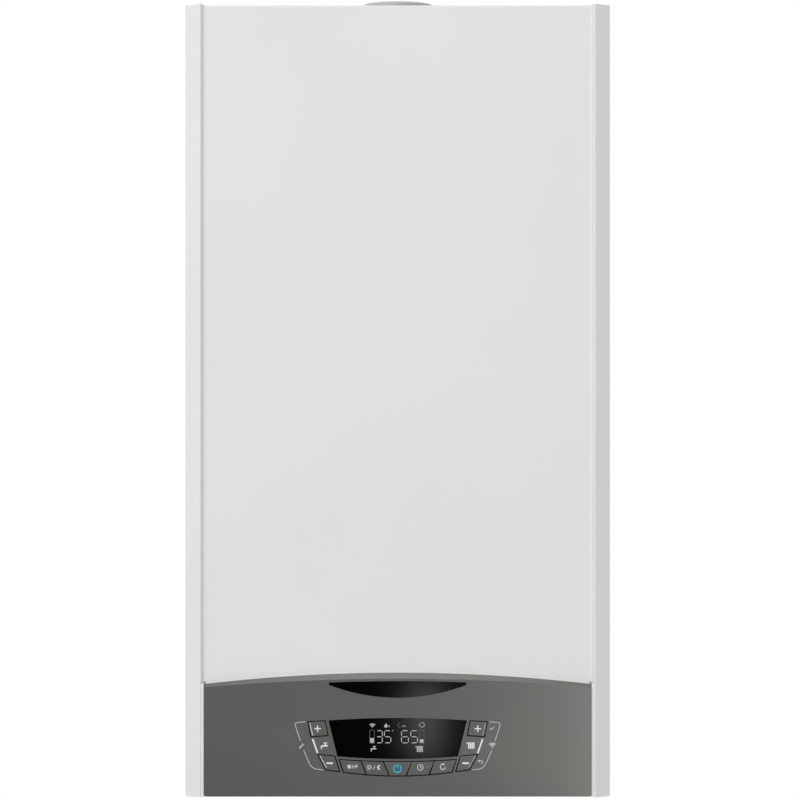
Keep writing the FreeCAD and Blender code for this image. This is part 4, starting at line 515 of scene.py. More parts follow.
door_trim = [boss(*door_ring, door_low.y, door_ring_height, door_middle)]
door_trim += spokes(
    door_middle, door_rib_angles, *door_ribs, door_rib_width, door_low.y, door_rib_height
)
door_casting = assembled("door_ring_and_ribs", door_trim, cast_aluminium)
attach(door_casting, "case")
sight_bezel = assembled(
    "sight_glass_bezel", [boss(*sight_ring, door_low.y, sight_height, sight_place)], brass
)
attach(sight_bezel, "case")
# Polished glass in front of a dark chamber looks nearly black, with a sharp reflection. The pane
# is opaque, and the chamber's darkness behind it is painted shade in its colour.
sight_glass = grained(
    "dark_sight_glass", ("#1A1410", "#241C16"),
    patch_mm=10, grain_mm=2, relief_mm=0.001, roughness=(0.05, 0.1), IOR=1.52,
)
sight_pane = assembled(
    "sight_glass_pane", [boss(0, sight_ring[0], door_low.y, sight_depth, sight_place)], sight_glass
)
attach(sight_pane, "case")

# Fan, silencer and small drives: wheels and housings moulded in black nylon, and motors in painted
# steel cans, screwed to what they turn. A hub, a ring and thin ribs stand on the fan motor's cap.
# Moulded nylon has an even, slightly waxy skin, here with a light texture from the tool.
black_nylon = grained(
    "moulded_black_nylon", ("#1A1A1B", "#222223"),
    patch_mm=50, grain_mm=0.9, relief_mm=0.03, roughness=(0.48, 0.58),
)
coat(black_nylon, "control_box", "air_silencer", "fan_impeller", "diverter_motor", "spark_generator")
# Sprayed paint on pressed steel is smooth, dark and half glossy.
motor_paint = grained(
    "painted_motor_can", ("#2C2E31", "#36383B"),
    patch_mm=30, grain_mm=1.2, relief_mm=0.02, roughness=(0.38, 0.48),
)
coat(motor_paint, "fan_motor", "pump_motor")
motor_low, motor_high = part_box("fan_motor")
motor_middle = ((motor_low.x + motor_high.x) / 2, (motor_low.z + motor_high.z) / 2)
motor_step = 0.0008
motor_hub = 0.013
motor_ring = (0.033, 0.037)
motor_spokes = (0.015, 0.031)
motor_spoke_width = 0.0022
motor_spoke_angles = range(0, 360, 20)
motor_cap = [
    boss(0, motor_hub, motor_low.y, motor_step, motor_middle),
    boss(*motor_ring, motor_low.y, motor_step, motor_middle),
]
motor_cap += spokes(
    motor_middle, motor_spoke_angles, *motor_spokes, motor_spoke_width, motor_low.y, motor_step
)
motor_ribs = assembled("fan_motor_ribs", motor_cap, motor_paint)
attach(motor_ribs, "case")

# Water side: a pump body of sand-cast iron, a pressed steel vessel on the back panel, bent copper
# pipes held by union nuts, and two red knobs pushed onto their spindles.
# The coarse skin of a sand casting shows through its black paint.
cast_iron = grained(
    "painted_sand_cast_iron", ("#292A2B", "#333435"),
    patch_mm=12, grain_mm=1.8, relief_mm=0.15, roughness=(0.55, 0.7),
)
coat(cast_iron, "pump_body")
# Sprayed paint on a smooth pressing has a soft sheen.
vessel_paint = grained(
    "grey_vessel_paint", ("#6C7073", "#767A7D"),
    patch_mm=60, grain_mm=1.6, relief_mm=0.02, roughness=(0.38, 0.46),
)
coat(vessel_paint, "expansion_vessel")
# Drawn copper is bright, and has begun to darken in patches.
copper = grained(
    "drawn_copper", ("#B4633C", "#C6784D"),
    patch_mm=18, grain_mm=0.9, relief_mm=0.01, roughness=(0.26, 0.42), Metallic=1.0,
)
coat(copper, "heating_pipes", "gas_pipe")
# Nylon coloured all through is deep red, with the mould's even skin.
red_nylon = grained(
    "moulded_red_nylon", ("#981A17", "#A8221E"),
    patch_mm=20, grain_mm=0.9, relief_mm=0.02, roughness=(0.4, 0.5),
)
coat(red_nylon, "safety_valve_knob", "filling_tap_handle")

# Flue: adapter and inner pipe moulded in grey polypropylene. Four cross-headed screws clamp the
# adapter's flange to the top panel, and a seal of black rubber lies in the spigot's mouth.
# Polypropylene is matt and a little translucent, so its grey looks soft.
polypropylene = grained(
    "grey_moulded_polypropylene", ("#B2B3B2", "#BABBBA"),
    patch_mm=40, grain_mm=1.2, relief_mm=0.02, roughness=(0.4, 0.48), IOR=1.49,
)
coat(polypropylene, "flue_adapter", "flue_pipe")
coat(zinc, "flue_screws")
screw_low, screw_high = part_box("flue_screws")
screw_radius = 0.004
screw_flat = 0.0032
screw_crown = 0.0009
recess_half = 0.0021
recess_width = 0.0009
recess_depth = 0.0013
least_sine = 1e-6


def cross_headed(centre, low, high):
    """A pan head whose flat top sinks in the shape of a cross: at each angle the recess ends at
    the arm's end or at its side, whichever comes first."""
    turn = np.abs([np.cos(ring_angles), np.sin(ring_angles)])
    to_end = recess_half / turn.max(axis=0)
    to_side = recess_width / 2 / np.maximum(turn.min(axis=0), least_sine)
    cross = np.minimum(to_end, to_side)
    radii = [0, screw_radius, screw_radius, screw_flat, cross, cross, 0]
    heights = [low, low, high - screw_crown, high, high, high - recess_depth, high - recess_depth]
    return turned(radii, heights, centre)


screw_places = [
    (x, y)
    for x in (screw_low.x + screw_radius, screw_high.x - screw_radius)
    for y in (screw_low.y + screw_radius, screw_high.y - screw_radius)
]
# Bright zinc plate is smooth and bluish grey.
screw_zinc = grained(
    "bright_zinc_plate", ("#A4A8AB", "#B0B4B7"),
    patch_mm=5, grain_mm=0.6, relief_mm=0.005, roughness=(0.3, 0.4), Metallic=0.9,
)
screws = assembled(
    "cross_headed_screws",
    [cross_headed(place, screw_low.z, screw_high.z) for place in screw_places],
    screw_zinc,
)
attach(screws, "case")
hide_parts("flue_screws")
# Moulded rubber is dull and almost black.
rubber = grained(
    "moulded_black_rubber", ("#161616", "#1D1D1D"),
    patch_mm=20, grain_mm=0.8, relief_mm=0.02, roughness=(0.6, 0.72),
)
coat(rubber, "vessel_diaphragm")
flue_mount = next(mount for mount in frame["record"]["mounts"] if mount["name"] == "flue")
flue_bore = flue_mount["dims"]["r_mm"] / 1000
flue_mouth = flue_mount["pos_m"][2]
seal_drop = 0.006
seal_height = 0.012
seal_lip = 0.0009
seal_lips = 3
seal_steps = 37
# The seal's inside swells once for each lip down its height, and its back runs straight up again.
seal_share = np.append(np.linspace(0, 1, seal_steps), 0)
seal_radii = flue_bore - seal_lip * np.abs(np.sin(seal_lips * np.pi * seal_share))
seal_heights = flue_mouth - seal_drop - seal_height * seal_share
seal = assembled("flue_lip_seal", [turned(seal_radii, seal_heights, flue_mount["pos_m"])], rubber)
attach(seal, "case")


# Circuit boards: sheets of glass laminate etched with copper tracks, on posts of the fascia and of
# the control box. Their parts are soldered on and stand in front of the sheet.
def solder_mask(name, node, hexes):
    """Masked sheet with a grid of tracks at and behind its front, dark parts nearer than that."""
    sheet = 0.0017
    track_mm = 12
    made, tree, place = surface(name)
    across = add(tree, "ShaderNodeSeparateXYZ", {"Vector": place})
    behind = add(
        tree,
        "ShaderNodeMath",
        {0: across.outputs["Y"], 1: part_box(node)[1].y - sheet},
        operation="GREATER_THAN",
    )
    tracks = add(
        tree,
        "ShaderNodeTexBrick",
        {
            "Vector": place,
            "Scale": 1000 / track_mm,
            "Color1": linear(hexes[0]),
            "Color2": linear(hexes[1]),
            "Mortar": linear(hexes[2]),
        },
    )
    mixed = add(
        tree,
        "ShaderNodeMix",
        {0: behind.outputs[0], 6: linear("#202022"), 7: tracks.outputs["Color"]},
        data_type="RGBA",
    )
    shaded(tree, {"Base Color": mixed.outputs[2], "Roughness": 0.4})
    coat(made, node)


# Solder mask is a glossy lacquer, paler over the tracks. The real tracks are a tenth as wide, and
# are drawn coarser so that they show. The display's board is black, so that no colour shows
# through the gaps round the keys.
solder_mask("black_solder_mask", "display_board", ("#0B0C0C", "#0E0F0F", "#161818"))
solder_mask("green_solder_mask", "main_board", ("#1F5A34", "#22633A", "#2F7A4A"))

# Control box lid: a ribbed plate moulded in black nylon that closes the rear of the box, held by
# six screws. It is the first thing seen when the panel is swung down.
box_low, box_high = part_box("control_box")
lid_edge = 0.007
lid_thick = 0.0008
lid_ribs = 5
lid_rib_short = 0.03
lid_rib_width = 0.0024
lid_rib_height = 0.0007
lid_screw_inset = (0.01, 0.006)
lid_screw_height = 0.0016


def slab(x_low, x_high, z_low, z_high, near, far):
    """An upright plate between two depths: its four corners carried straight back."""
    rim = np.array([(x_low, z_high), (x_low, z_low), (x_high, z_low), (x_high, z_high)])
    return bar(rim, near, far, axis=1)


lid_left, lid_right = box_low.x + lid_edge, box_high.x - lid_edge
lid_low, lid_top = box_low.z + lid_edge, box_high.z - lid_edge
lid_back = box_high.y + lid_thick
lid_parts = slab(lid_left, lid_right, lid_low, lid_top, box_high.y, lid_back)
for level in np.linspace(lid_low, lid_top, lid_ribs + 2)[1:-1]:
    ends = (lid_left + lid_rib_short, lid_right - lid_rib_short)
    edges = (level - lid_rib_width / 2, level + lid_rib_width / 2)
    lid_parts += slab(*ends, *edges, lid_back, lid_back + lid_rib_height)
lid = assembled("control_box_lid", lid_parts, black_nylon)
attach(lid, "control_panel")
lid_screws = []
lid_screw_left, lid_screw_right = lid_left + lid_screw_inset[0], lid_right - lid_screw_inset[0]
for x in (lid_screw_left, (lid_left + lid_right) / 2, lid_screw_right):
    for z in (lid_low + lid_screw_inset[1], lid_top - lid_screw_inset[1]):
        points, faces = cross_headed((0, 0), lid_back, lid_back + lid_screw_height)
        lid_screws.append((np.column_stack([x + points[:, 0], points[:, 2], z - points[:, 1]]), faces))
box_screws = assembled("control_box_screws", lid_screws, screw_zinc)
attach(box_screws, "control_panel")

# Fascia: one injection moulding in dark grey ABS, lacquered on the outside and screwed to the
# control box. Its bevelled arch catches the light above the flat face.
# Metallic lacquer is satin grey, with flakes that brighten it towards the light.
lacquer = grained(
    "grey_metallic_lacquer", ("#6F716E", "#737570"),
    patch_mm=120, grain_mm=0.9, relief_mm=0.015, roughness=(0.36, 0.42), IOR=1.5, Metallic=0.5,
)
coat(lacquer, "fascia")
controls.objects.link(frame["nodes"]["fascia"])

# Badge plate and display window: two lenses cut from clear acrylic, printed black from behind and
# bonded into pockets of the fascia.
# Backed acrylic looks deep black, and a thin anti-glare coat takes most of its gloss.
acrylic = grained(
    "black_backed_acrylic", ("#010102", "#020203"),
    patch_mm=80, grain_mm=3, relief_mm=0.002, roughness=(0.23, 0.27),
    IOR=1.49, Specular_IOR_Level=0.08,
)
coat(acrylic, "badge_plate", "display_window")
# A small upright lamp that only the two lenses reflect, as one soft stripe right of the middle.
glare_across = 0.027
glare_level = case_low + 0.057
glare_lamp = soft_box(
    "lens_light",
    place=(glare_across, front - 0.16, glare_level),
    aim=(glare_across, front, glare_level),
    wide=0.03,
    high=0.07,
    watts=0.102,
)
glare_lamp.visible_camera = False
lenses = bpy.data.collections.new("front_lenses")
for name in ("badge_plate", "display_window"):
    lenses.objects.link(frame["nodes"][name])
glare_lamp.light_linking.receiver_collection = lenses

# Keys: nine caps moulded in the fascia's ABS with softened edges, each on a stem that presses a
# switch on the display's board. They are lacquered like the fascia.
key_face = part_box("key_power")[0].y
key_sunk = 0.00006
key_front = key_face + key_sunk
key_ease = 0.00015
key_round = 0.0004
key_border = 0.0001
key_skirt = 0.003
key_round_steps = 5
face_tolerance = 1e-6


def key_cap(name, material):
    """A cap over the CAD key's outline: the outline is drawn in as the depth falls along a
    quarter circle at the edge, and both ends are closed by a fan about the middle."""
    mesh = frame["nodes"][name].data
    corners = np.empty(len(mesh.vertices) * 3)
    mesh.vertices.foreach_get("co", corners)
    corners = corners.reshape(-1, 3)
    on_face = corners[corners[:, 1] < key_face + face_tolerance]
    face = np.unique(on_face[:, [0, 2]].round(7), axis=0)
    centre = face.mean(axis=0)
    rim = face[np.argsort(np.arctan2(face[:, 1] - centre[1], face[:, 0] - centre[0]))]
    ahead = np.roll(rim, -1, axis=0) - rim
    ahead /= np.linalg.norm(ahead, axis=1)[:, None]
    inward = np.stack([-ahead[:, 1], ahead[:, 0]], axis=1)
    mitre = inward + np.roll(inward, 1, axis=0)
    mitre /= (mitre * inward).sum(axis=1)[:, None]
    angle = np.radians(np.linspace(0, 90, key_round_steps))
    draws = key_ease + np.array([0, *key_round * (1 - np.cos(angle)), key_round + key_border])
    depths = key_front + np.array([key_skirt, *key_round * (1 - np.sin(angle)), 0])
    outlines = rim + draws[:, None, None] * mitre
    behind = np.broadcast_to(depths[:, None], outlines.shape[:2])
    rings = np.stack([outlines[..., 0], behind, outlines[..., 1]], axis=-1).reshape(-1, 3)
    middles = [(centre[0], depth, centre[1]) for depth in (key_front + key_skirt, key_front)]
    points = np.vstack([rings, middles])
    count = len(rim)
    steps = np.arange(count)
    after = (steps + 1) % count
    last = len(rings) - count
    back = np.stack([after, steps, np.full(count, len(rings))], axis=1)
    fan = np.stack([steps + last, after + last, np.full(count, len(rings) + 1)], axis=1)
    parts = [(points, faces) for faces in (tube_faces(len(depths), count), back, fan)]
    cap = assembled(f"{name}_cap", parts, material)
    controls.objects.link(cap)
    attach(cap, name)
    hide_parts(name)


# Metallic lacquer as on the fascia, a shade smoother on the small caps.
key_lacquer = grained(
    "key_metallic_lacquer", ("#6F716E", "#737570"),
    patch_mm=60, grain_mm=0.9, relief_mm=0.01, roughness=(0.34, 0.4), IOR=1.5, Metallic=0.5,
)
# The power key is lit from behind, and its glow on the cap is painted: the lacquer's colour turns
# blue-green near the middle of the sign.
power_across_mm, power_up_mm = -0.3, 27.0
power_middle = (power_across_mm / 1000, key_front, case_low + power_up_mm / 1000)
power_glow = 0.0028
power_fade = 0.0056
# Painted glow: blue-green mixed into the lacquer's colour, fading out from the sign's middle.
glow_painted_lacquer, tree, place = surface("backlit_metallic_lacquer")
away = add(tree, "ShaderNodeVectorMath", {0: place, 1: power_middle}, operation="DISTANCE")
fade_range = {"From Min": power_glow, "From Max": power_fade, "To Min": 1.0, "To Max": 0.0}
nearness = add(
    tree,
    "ShaderNodeMapRange",
    {"Value": away.outputs["Value"], **fade_range},
    interpolation_type="SMOOTHSTEP",
)
glow_tinted = add(
    tree,
    "ShaderNodeMix",
    {0: nearness.outputs["Result"], 6: linear("#71736F"), 7: linear("#46808F")},
    data_type="RGBA",
)
shaded(tree, {"Base Color": glow_tinted.outputs[2], "Roughness": 0.38, "Metallic": 0.5})

keys = sorted(name for name in frame["nodes"] if name.startswith("key_"))
# The power key's cap takes the lacquer with the painted glow.
for name in keys:
    key_cap(name, glow_painted_lacquer if name == "key_power" else key_lacquer)
coat(key_lacquer, *keys)


# Fascia prints: thin films of ink, screen printed on the lacquer. Each mark is made of bands that
# follow a line, or of filled outlines, in millimetres across and up the front.
film = 0.00002
film_step = 0.000002
least_mitre = 0.4


def strip(left, right):
    """A film between two lines of as many points."""
    count = len(left)
    at = np.arange(count - 1)
    return np.vstack([left, right]), np.stack([at, at + count, at + count + 1, at + 1], axis=1)


def band(points, width):
    """A strip that follows a line: each point is moved half the width to both sides along
    the mitre of its two neighbouring edges."""
    line = np.asarray(points, float)
    along = np.diff(line, axis=0)
    along /= np.linalg.norm(along, axis=1)[:, None]
    side = np.stack([-along[:, 1], along[:, 0]], axis=1)
    before = np.vstack([side[:1], side])
    mitre = before + np.vstack([side, side[-1:]])
    mitre /= np.linalg.norm(mitre, axis=1)[:, None]
    reach = width / 2 / np.clip((mitre * before).sum(axis=1), least_mitre, 1)
    return strip(line + mitre * reach[:, None], line - mitre * reach[:, None])


def patch(points):
    """A filled outline: each of its edges joined to its middle."""
    rim = np.asarray(points, float)
    count = len(rim)
    at = np.arange(count)
    faces = np.stack([at, (at + 1) % count, np.full(count, count)], axis=1)
    return np.vstack([rim, rim.mean(axis=0)]), faces


def arc(x, up, radius, first, last, count=25):
    """Points on a circle from one angle to another, in degrees."""
    angle = np.radians(np.linspace(first, last, count))
    return np.stack([x + radius * np.cos(angle), up + radius * np.sin(angle)], axis=1)


def eased(start, corner, end, reach, count=9):
    """A line with one corner, rounded from a reach before it to a reach after it by a quadratic
    curve that the corner pulls."""
    start, corner, end = (np.asarray(point, float) for point in (start, corner, end))
    into = corner + (start - corner) / np.linalg.norm(start - corner) * reach
    out = corner + (end - corner) / np.linalg.norm(end - corner) * reach
    share = np.linspace(0, 1, count)[:, None]
    curve = (1 - share) ** 2 * into + 2 * share * (1 - share) * corner + share**2 * out
    return np.vstack([start, curve, end])


def mark(name, parts, depth, ink, body):
    """One film made of bands and patches in front of a depth, each a hair over the last."""
    placed = []
    for at, (points, faces) in enumerate(parts):
        level = np.full(len(points), depth - film - film_step * at)
        across, up = points.T / 1000
        placed.append((np.column_stack([across, level, case_low + up]), faces))
    made = assembled(name, placed, ink)
    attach(made, body)


def tap_sign(x, up, size):
    """A tap seen from the side: spout to the left, riser, handle and a drop, in sevenths of its
    size from its middle."""
    unit = size / 7
    middle = np.array([x, up])
    spout = np.array([(3.2, -0.3), (-2.8, -0.3), (-2.8, -2.3)]) * unit + middle
    riser = np.array([(0.9, 0.3), (0.9, 2.0)]) * unit + middle
    handle = np.array([(2.7, 2.5), (-0.9, 2.5)]) * unit + middle
    drop = arc(x - 2.8 * unit, up - 3.3 * unit, 0.55 * unit, 0, 345, 12)
    return [
        band(eased(*spout, reach=1.2 * unit), width=1.5 * unit),
        band(riser, width=1.1 * unit),
        band(handle, width=0.9 * unit),
        patch(drop),
    ]


def radiator_sign(left, right, low, high, ribs=4):
    """A radiator seen from the front: close upright ribs, and a pipe at the upper left. The pipe
    takes a fifth of the width, and the gaps are about a third of a rib."""
    pitch_share = 1.35
    pipe = (right - left) / 5
    width = (right - left - pipe) / (ribs * pitch_share - (pitch_share - 1))
    places = left + pipe + width * (0.5 + pitch_share * np.arange(ribs))
    shown = [band([(x, low), (x, high)], width) for x in places]
    level = high - 0.12 * (high - low)
    return shown + [band([(left, level), (left + pipe * 0.9, level)], width=width * 0.7)]


def wave_sign(x, up, size):
    """Three arcs over a dot, at rising shares of the size."""
    rings = [arc(x, up, size * share, 42, 138, 13) for share in (0.36, 0.64, 0.92)]
    dot = arc(x, up + size * 0.08, size * 0.13, 0, 330, 12)
    return [band(ring, width=size * 0.19) for ring in rings] + [patch(dot)]


# Screen-printed ink is thin, even and matt. White is for the main signs, a broken white for lines
# and small signs, and grey for what should hardly show. The broken white and the grey also colour
# the edge stripes of the corner keys, which are partly print and partly painted highlight.
inks = [
    grained(
        f"screen_printed_{word}_ink",
        hexes,
        patch_mm=30,
        grain_mm=0.6,
        relief_mm=0.004,
        roughness=(0.45, 0.55),
    )
    for word, hexes in (
        ("white", ("#DEDEDC", "#E8E8E6")),
        ("line", ("#C0C1BE", "#CACBC8")),
        ("grey", ("#8E908D", "#989A97")),
    )
]
white_ink, line_ink, grey_ink = inks
mirror = ((-1, 1), (1, 1))
bar_line = np.array([(79.8, 55.0), (75.1, 41.6)])
bar_width = 1.5
bracket_lines = (
    eased((86.4, 71.1), (96.9, 70.3), (91.3, 53.0), reach=3.2),
    eased((88.2, 44.1), (80.7, 27.1), (70.1, 25.9), reach=5.5),
)
bracket_width = 0.62
bars = [band(bar_line * flip, bar_width) for flip in mirror]
brackets = [band(line * flip, bracket_width) for flip in mirror for line in bracket_lines]
signs = tap_sign(-68.8, 48.8, size=6.8) + radiator_sign(64.6, 72.1, low=45.9, high=51.8)
spanner = [
    band([(-91.5, 47.1), (-89.2, 49.4)], width=1.0),
    band(arc(-88.7, 49.9, 0.65, 100, 350, 15), width=0.6),
    band(arc(-92.0, 46.6, 0.65, -80, 170, 15), width=0.6),
]
tick = [band([(86.3, 65.0), (87.9, 63.8), (90.4, 66.2)], width=0.75)]
back_arrow = [
    band(eased((76.6, 34.3), (80.6, 34.3), (78.9, 31.5), reach=1.9), width=0.75),
    patch([(75.0, 34.3), (77.0, 33.0), (77.0, 35.6)]),
]
small_signs = wave_sign(88.8, 47.0, size=4.5) + spanner + tick + back_arrow
mark("fascia_white_print", bars + signs, front, white_ink, "control_panel")
mark("fascia_line_print", brackets + small_signs, front, line_ink, "control_panel")

# Key prints: the same inks, pad printed on the caps, so that each mark moves with its key. The
# outer edge of the four corner keys carries a stripe, partly print and partly a painted highlight of
# the key's edge: paler on the two left keys, which face the light, and grey on the two right keys.
sign_half = 3.1
plus_place = (75.2, 64.65)
plus_width = 1.05
plus_stripe = np.array([(82.5, 70.2), (79.7, 58.2)])
minus_place = (63.8, 32.2)
minus_width = 1.6
minus_stripe = np.array([(72.9, 38.9), (66.8, 27.9)])
stripe_width = 0.85
slash_width = 0.45


def plus_sign(x, up, half, width):
    """A cross as one outline: three corners, the root and the two ends of its upper arm, given
    four times, each time a quarter turn further."""
    arm = width / 2
    corners = np.array([(arm, arm), (arm, half), (-arm, half)])
    quarter = np.array([(0, 1), (-1, 0)])
    turns = [corners @ np.linalg.matrix_power(quarter, count) for count in range(4)]
    return patch(np.vstack(turns) + (x, up))


def key_mark(key, parts, ink, kind="print"):
    """A mark on the front of a key's cap."""
    mark(f"{key}_{kind}", parts, key_front, ink, key)


# Painted highlight: the left keys' edge stripes take the paler ink because those keys face the light.
for prefix, side, stripe_highlight_ink in (("key_water", -1, line_ink), ("key_heat", 1, grey_ink)):
    flip = (side, 1)
    plus = [plus_sign(side * plus_place[0], plus_place[1], sign_half, plus_width)]
    minus_ends = np.array([(-sign_half, 0), (sign_half, 0)]) + np.array(minus_place) * flip
    minus = [band(minus_ends, minus_width)]
    for end, sign, stripe in (("plus", plus, plus_stripe), ("minus", minus, minus_stripe)):
        key_mark(f"{prefix}_{end}", sign, white_ink)
        key_mark(f"{prefix}_{end}", [band(stripe * flip, stripe_width)], stripe_highlight_ink, kind="stripe")

mode_sign = radiator_sign(-47.7, -43.9, low=27.4, high=30.6) + tap_sign(-39.2, 29.2, size=3.6)
mode_sign.append(band([(-42.9, 27.2), (-41.6, 30.8)], slash_width))
key_mark("key_mode", mode_sign, white_ink)

sun_middle = np.array([-26.6, 28.2])
sun_radius = 1.3
sun_rays = (2.0, 2.8)
ray_turns = np.radians(np.arange(0, 360, 45))
ray_ways = np.stack([np.cos(ray_turns), np.sin(ray_turns)], axis=1)
sun = [band(arc(*sun_middle, sun_radius, 0, 360), width=0.5)]
sun += [band([sun_middle + way * reach for reach in sun_rays], slash_width) for way in ray_ways]
slash = [band([(-22.8, 26.4), (-21.0, 30.0)], slash_width)]
# The crescent's inner edge has fewer points than its outer one, so some of them serve twice.
moon_outer = arc(-17.0, 28.2, 2.2, 60, 300, 20)
moon_inner = arc(-15.6, 28.2, 2.0, 110, 250, 16)
served = np.linspace(0, len(moon_inner) - 1, len(moon_outer)).astype(int)
moon = [strip(moon_outer, moon_inner[served])]
key_mark("key_comfort", sun + slash + moon, white_ink)

clock = [
    band(arc(21.3, 28.2, 2.6, 0, 360, 33), width=0.5),
    band([(21.3, 29.9), (21.3, 28.2), (22.6, 27.5)], width=0.5),
]
key_mark("key_timer", clock, white_ink)

reset = [
    band(arc(42.5, 28.8, 2.5, 70, 350, 31), width=0.6),
    patch([(42.3, 32.4), (42.3, 30.2), (44.2, 31.3)]),
]
key_mark("key_reset", reset, white_ink)


# Lamps: the power sign is a window of clear plastic in its cap, lit blue from behind, and the
# display's figures are cells of a segment display bonded under the black lens.
def lit(name, hexes, strength):
    """A plain window or cell that shines a little in its paler colour. Light through plastic
    looks even, with no visible source."""
    return grained(
        name,
        hexes,
        patch_mm=8,
        grain_mm=0.6,
        relief_mm=0.002,
        roughness=(0.4, 0.5),
        Emission_Color=linear(hexes[1]),
        Emission_Strength=strength,
    )


blue_lamp = lit("blue_lamp_window", ("#4FA2B8", "#5FB4CC"), strength=0.08)
power_radius = 3.5
power_width = 1.0
power_bar = np.array([(0, 0.6), (0, 4.2)]) + (power_across_mm, power_up_mm)
power_arc = arc(power_across_mm, power_up_mm, power_radius, 115, 425, 37)
power_sign = [band(power_arc, power_width), band(power_bar, power_width)]
key_mark("key_power", power_sign, blue_lamp)

segments = {
    "a": ((0.14, 1), (0.86, 1)),
    "b": ((1, 0.93), (1, 0.57)),
    "c": ((1, 0.43), (1, 0.07)),
    "d": ((0.14, 0), (0.86, 0)),
    "e": ((0, 0.07), (0, 0.43)),
    "f": ((0, 0.57), (0, 0.93)),
    "g": ((0.14, 0.5), (0.86, 0.5)),
}
lit_segments = {"3": "abgcd", "5": "afgcd", "6": "afgedc"}
segment_stroke = 0.74
figures_low, figures_high = 51.3, 62.7
figure_sides = (("3", -19.8, -14.4), ("5", -12.4, -6.4), ("6", 3.6, 10.1), ("5", 12.4, 18.6))
gauge_low, gauge_high = 51.0, 63.2
gauge_levels = ((-26.2, -21.9, 55.8), (20.6, 24.7, 54.6))
gauge_line = 0.4
gauge_inset = 0.45
gauge_foot = 0.5


def figure(digit, left, right):
    """One seven-segment figure: each lit segment is a band between two shares of its box."""
    size = np.array([right - left, figures_high - figures_low])
    ends = [np.array(segments[name]) * size + (left, figures_low) for name in lit_segments[digit]]
    return [band(line, segment_stroke) for line in ends]


figures = [part for digit, left, right in figure_sides for part in figure(digit, left, right)]
figures.append(band([(-5.2, figures_high), (-4.2, figures_high)], segment_stroke))
gauges = []
for left, right, level in gauge_levels:
    middle = (left + right) / 2
    figures.append(
        band([(middle, gauge_low + gauge_foot), (middle, level)], right - left - 2 * gauge_inset)
    )
    low_left, high_right = (left, gauge_low), (right, gauge_high)
    outline = [low_left, (right, gauge_low), high_right, (left, gauge_high), low_left]
    gauges.append(band(outline, gauge_line))
waves = wave_sign(-23.7, 65.8, size=3.7)
flame_outline = [
    (-11.6, 65.7), (-9.9, 65.9), (-9.4, 67.2), (-10.0, 68.3),
    (-10.8, 69.9), (-11.6, 68.4), (-12.6, 67.5), (-12.5, 66.3),
]
flame = [patch(flame_outline), band(arc(-8.2, 66.6, 0.8, -60, 200, 11), width=0.4)]
roof = [band(eased((4.2, 66.2), (5.6, 68.0), (7.4, 66.4), reach=1.2), width=0.5)]
loop_arrow = [
    band(arc(23.0, 68.2, 2.1, -150, 150, 21), width=0.45),
    patch([(19.2, 68.2), (20.6, 67.3), (20.6, 69.1)]),
]
tap = tap_sign(-22.6, 46.0, size=5.4)
radiator = radiator_sign(16.6, 23.6, low=42.8, high=48.4)
figures += waves + flame + roof + loop_arrow + tap + radiator
gauges.append(band(arc(2.0, 67.8, 1.9, 80, 300, 17), width=0.4))
display_grey = lit("pale_display_segments", ("#989C9D", "#A6AAAB"), strength=0.3)
dim_grey = lit("dim_display_segments", ("#585B5C", "#646869"), strength=0.12)
mark("display_figures", figures, front, display_grey, "control_panel")
mark("display_gauges", gauges, front, dim_grey, "control_panel")

# Lip seals: soft white strips of foam rubber, glued along the cover's rounded sides and arched
# edge, and on the side panels beside the fascia. They close the gaps when the cover is hung on,
# so that no dark line shows.
fascia_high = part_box("fascia")[1]
cover_round = 0.0018
round_degrees = (12, 90)
round_steps = 8
arch_rise = 0.0107
arch_steps = 65
bevel_width = 0.0148
flank_width = 0.0027
flank_depth = 0.006
nose = case_half - bevel_width
flank_end = nose - flank_width
seal_clear = 0.0001
seal_touch = seal_clear / 10
seal_thick = 0.002
seal_back = 0.0009
# Foam rubber is matt and closed, a little paler than the coated sheet.
foam = grained(
    "white_foam_rubber", ("#E6E6E6", "#E9E9E9"),
    patch_mm=25, grain_mm=0.8, relief_mm=0.01, roughness=(0.7, 0.8),
)


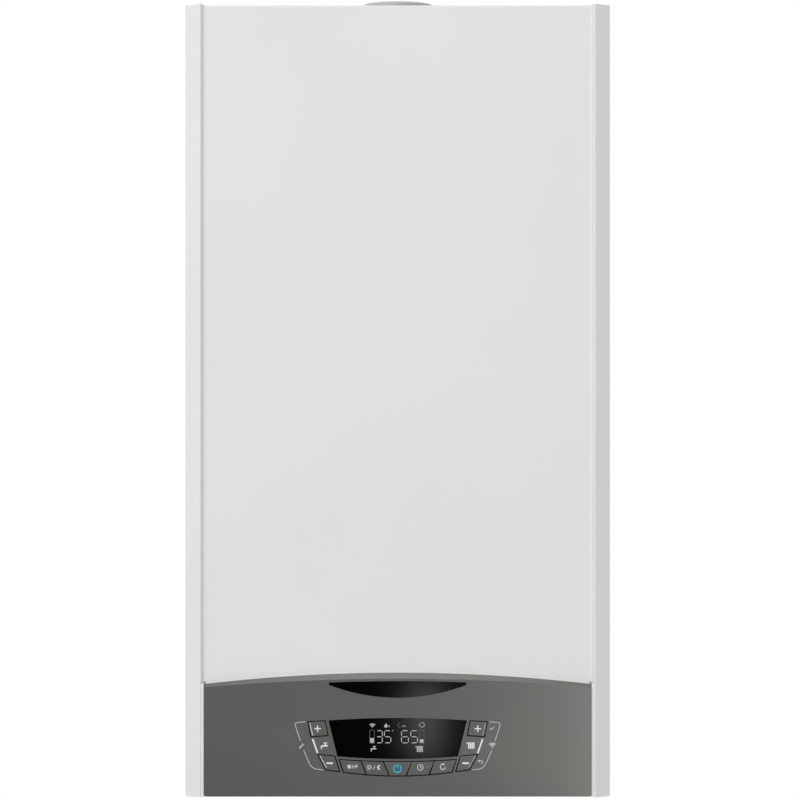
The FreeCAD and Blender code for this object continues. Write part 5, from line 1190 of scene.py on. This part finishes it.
def side_lip(side, inner, bends, low, high):
    """A bar from a row of points on the cover's or fascia's side out to the sloping flank: at each
    depth the flank stands between the nose and its end in proportion to the depth behind the nose."""
    depths = np.array([inner[0][1], inner[-1][1], *bends])
    slope = flank_width / flank_depth
    flank = np.maximum(nose - slope * (depths - front), flank_end) - seal_clear
    outer = np.column_stack([flank, depths])
    corners = np.vstack([outer[:1], inner, outer[1:]]) * (side, 1)
    return bar(corners[::side], low, high, axis=2)


turns = np.radians(np.linspace(*round_degrees, round_steps))
round_depth = cover_round - cover_round * np.cos(turns)
round_short = cover_round - cover_round * np.sin(turns) - seal_touch
cover_side = np.column_stack([cover_high.x - round_short, cover_low.y + round_depth])
fascia_side = [
    (cover_high.x + seal_clear, front + seal_back + behind) for behind in (0, seal_thick)
]
cover_lips = []
fascia_lips = []
for side in (-1, 1):
    cover_lips += side_lip(side, cover_side, [front + flank_depth], cover_low.z, cover_high.z)
    fascia_lips += side_lip(side, fascia_side, [], case_low + plug_foot, cover_low.z)
for name, lips, body in (
    ("cover_lip_seals", cover_lips, "front_cover"),
    ("fascia_lip_seals", fascia_lips, "case"),
):
    lip = assembled(name, lips, foam)
    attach(lip, body)

# The lip under the arch follows the cover's edge, which is part of a circle: its radius is the
# half span squared plus the rise squared, over twice the rise.
arch_half = cover_high.x
arch_radius = (arch_half**2 + arch_rise**2) / (2 * arch_rise)
arch_across = np.linspace(-arch_half, arch_half, arch_steps)
arch_drop = arch_radius - np.sqrt(arch_radius**2 - arch_across**2)
arch_edge = np.column_stack(
    [arch_across, np.full(arch_steps, cover_low.y), cover_low.z + arch_rise - arch_drop]
)
foot_height = fascia_high.z + seal_clear - cover_low.z - arch_rise
foot_section = [(0, round_depth[-1], foot_height), (0, round_depth[0], foot_height)]
round_section = np.column_stack([np.zeros(round_steps), round_depth, round_short])
arch_section = np.vstack([foot_section, round_section])
arch_seal = assembled("arch_lip_seal", rails(arch_edge + arch_section[:, None]), foam)
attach(arch_seal, "front_cover")
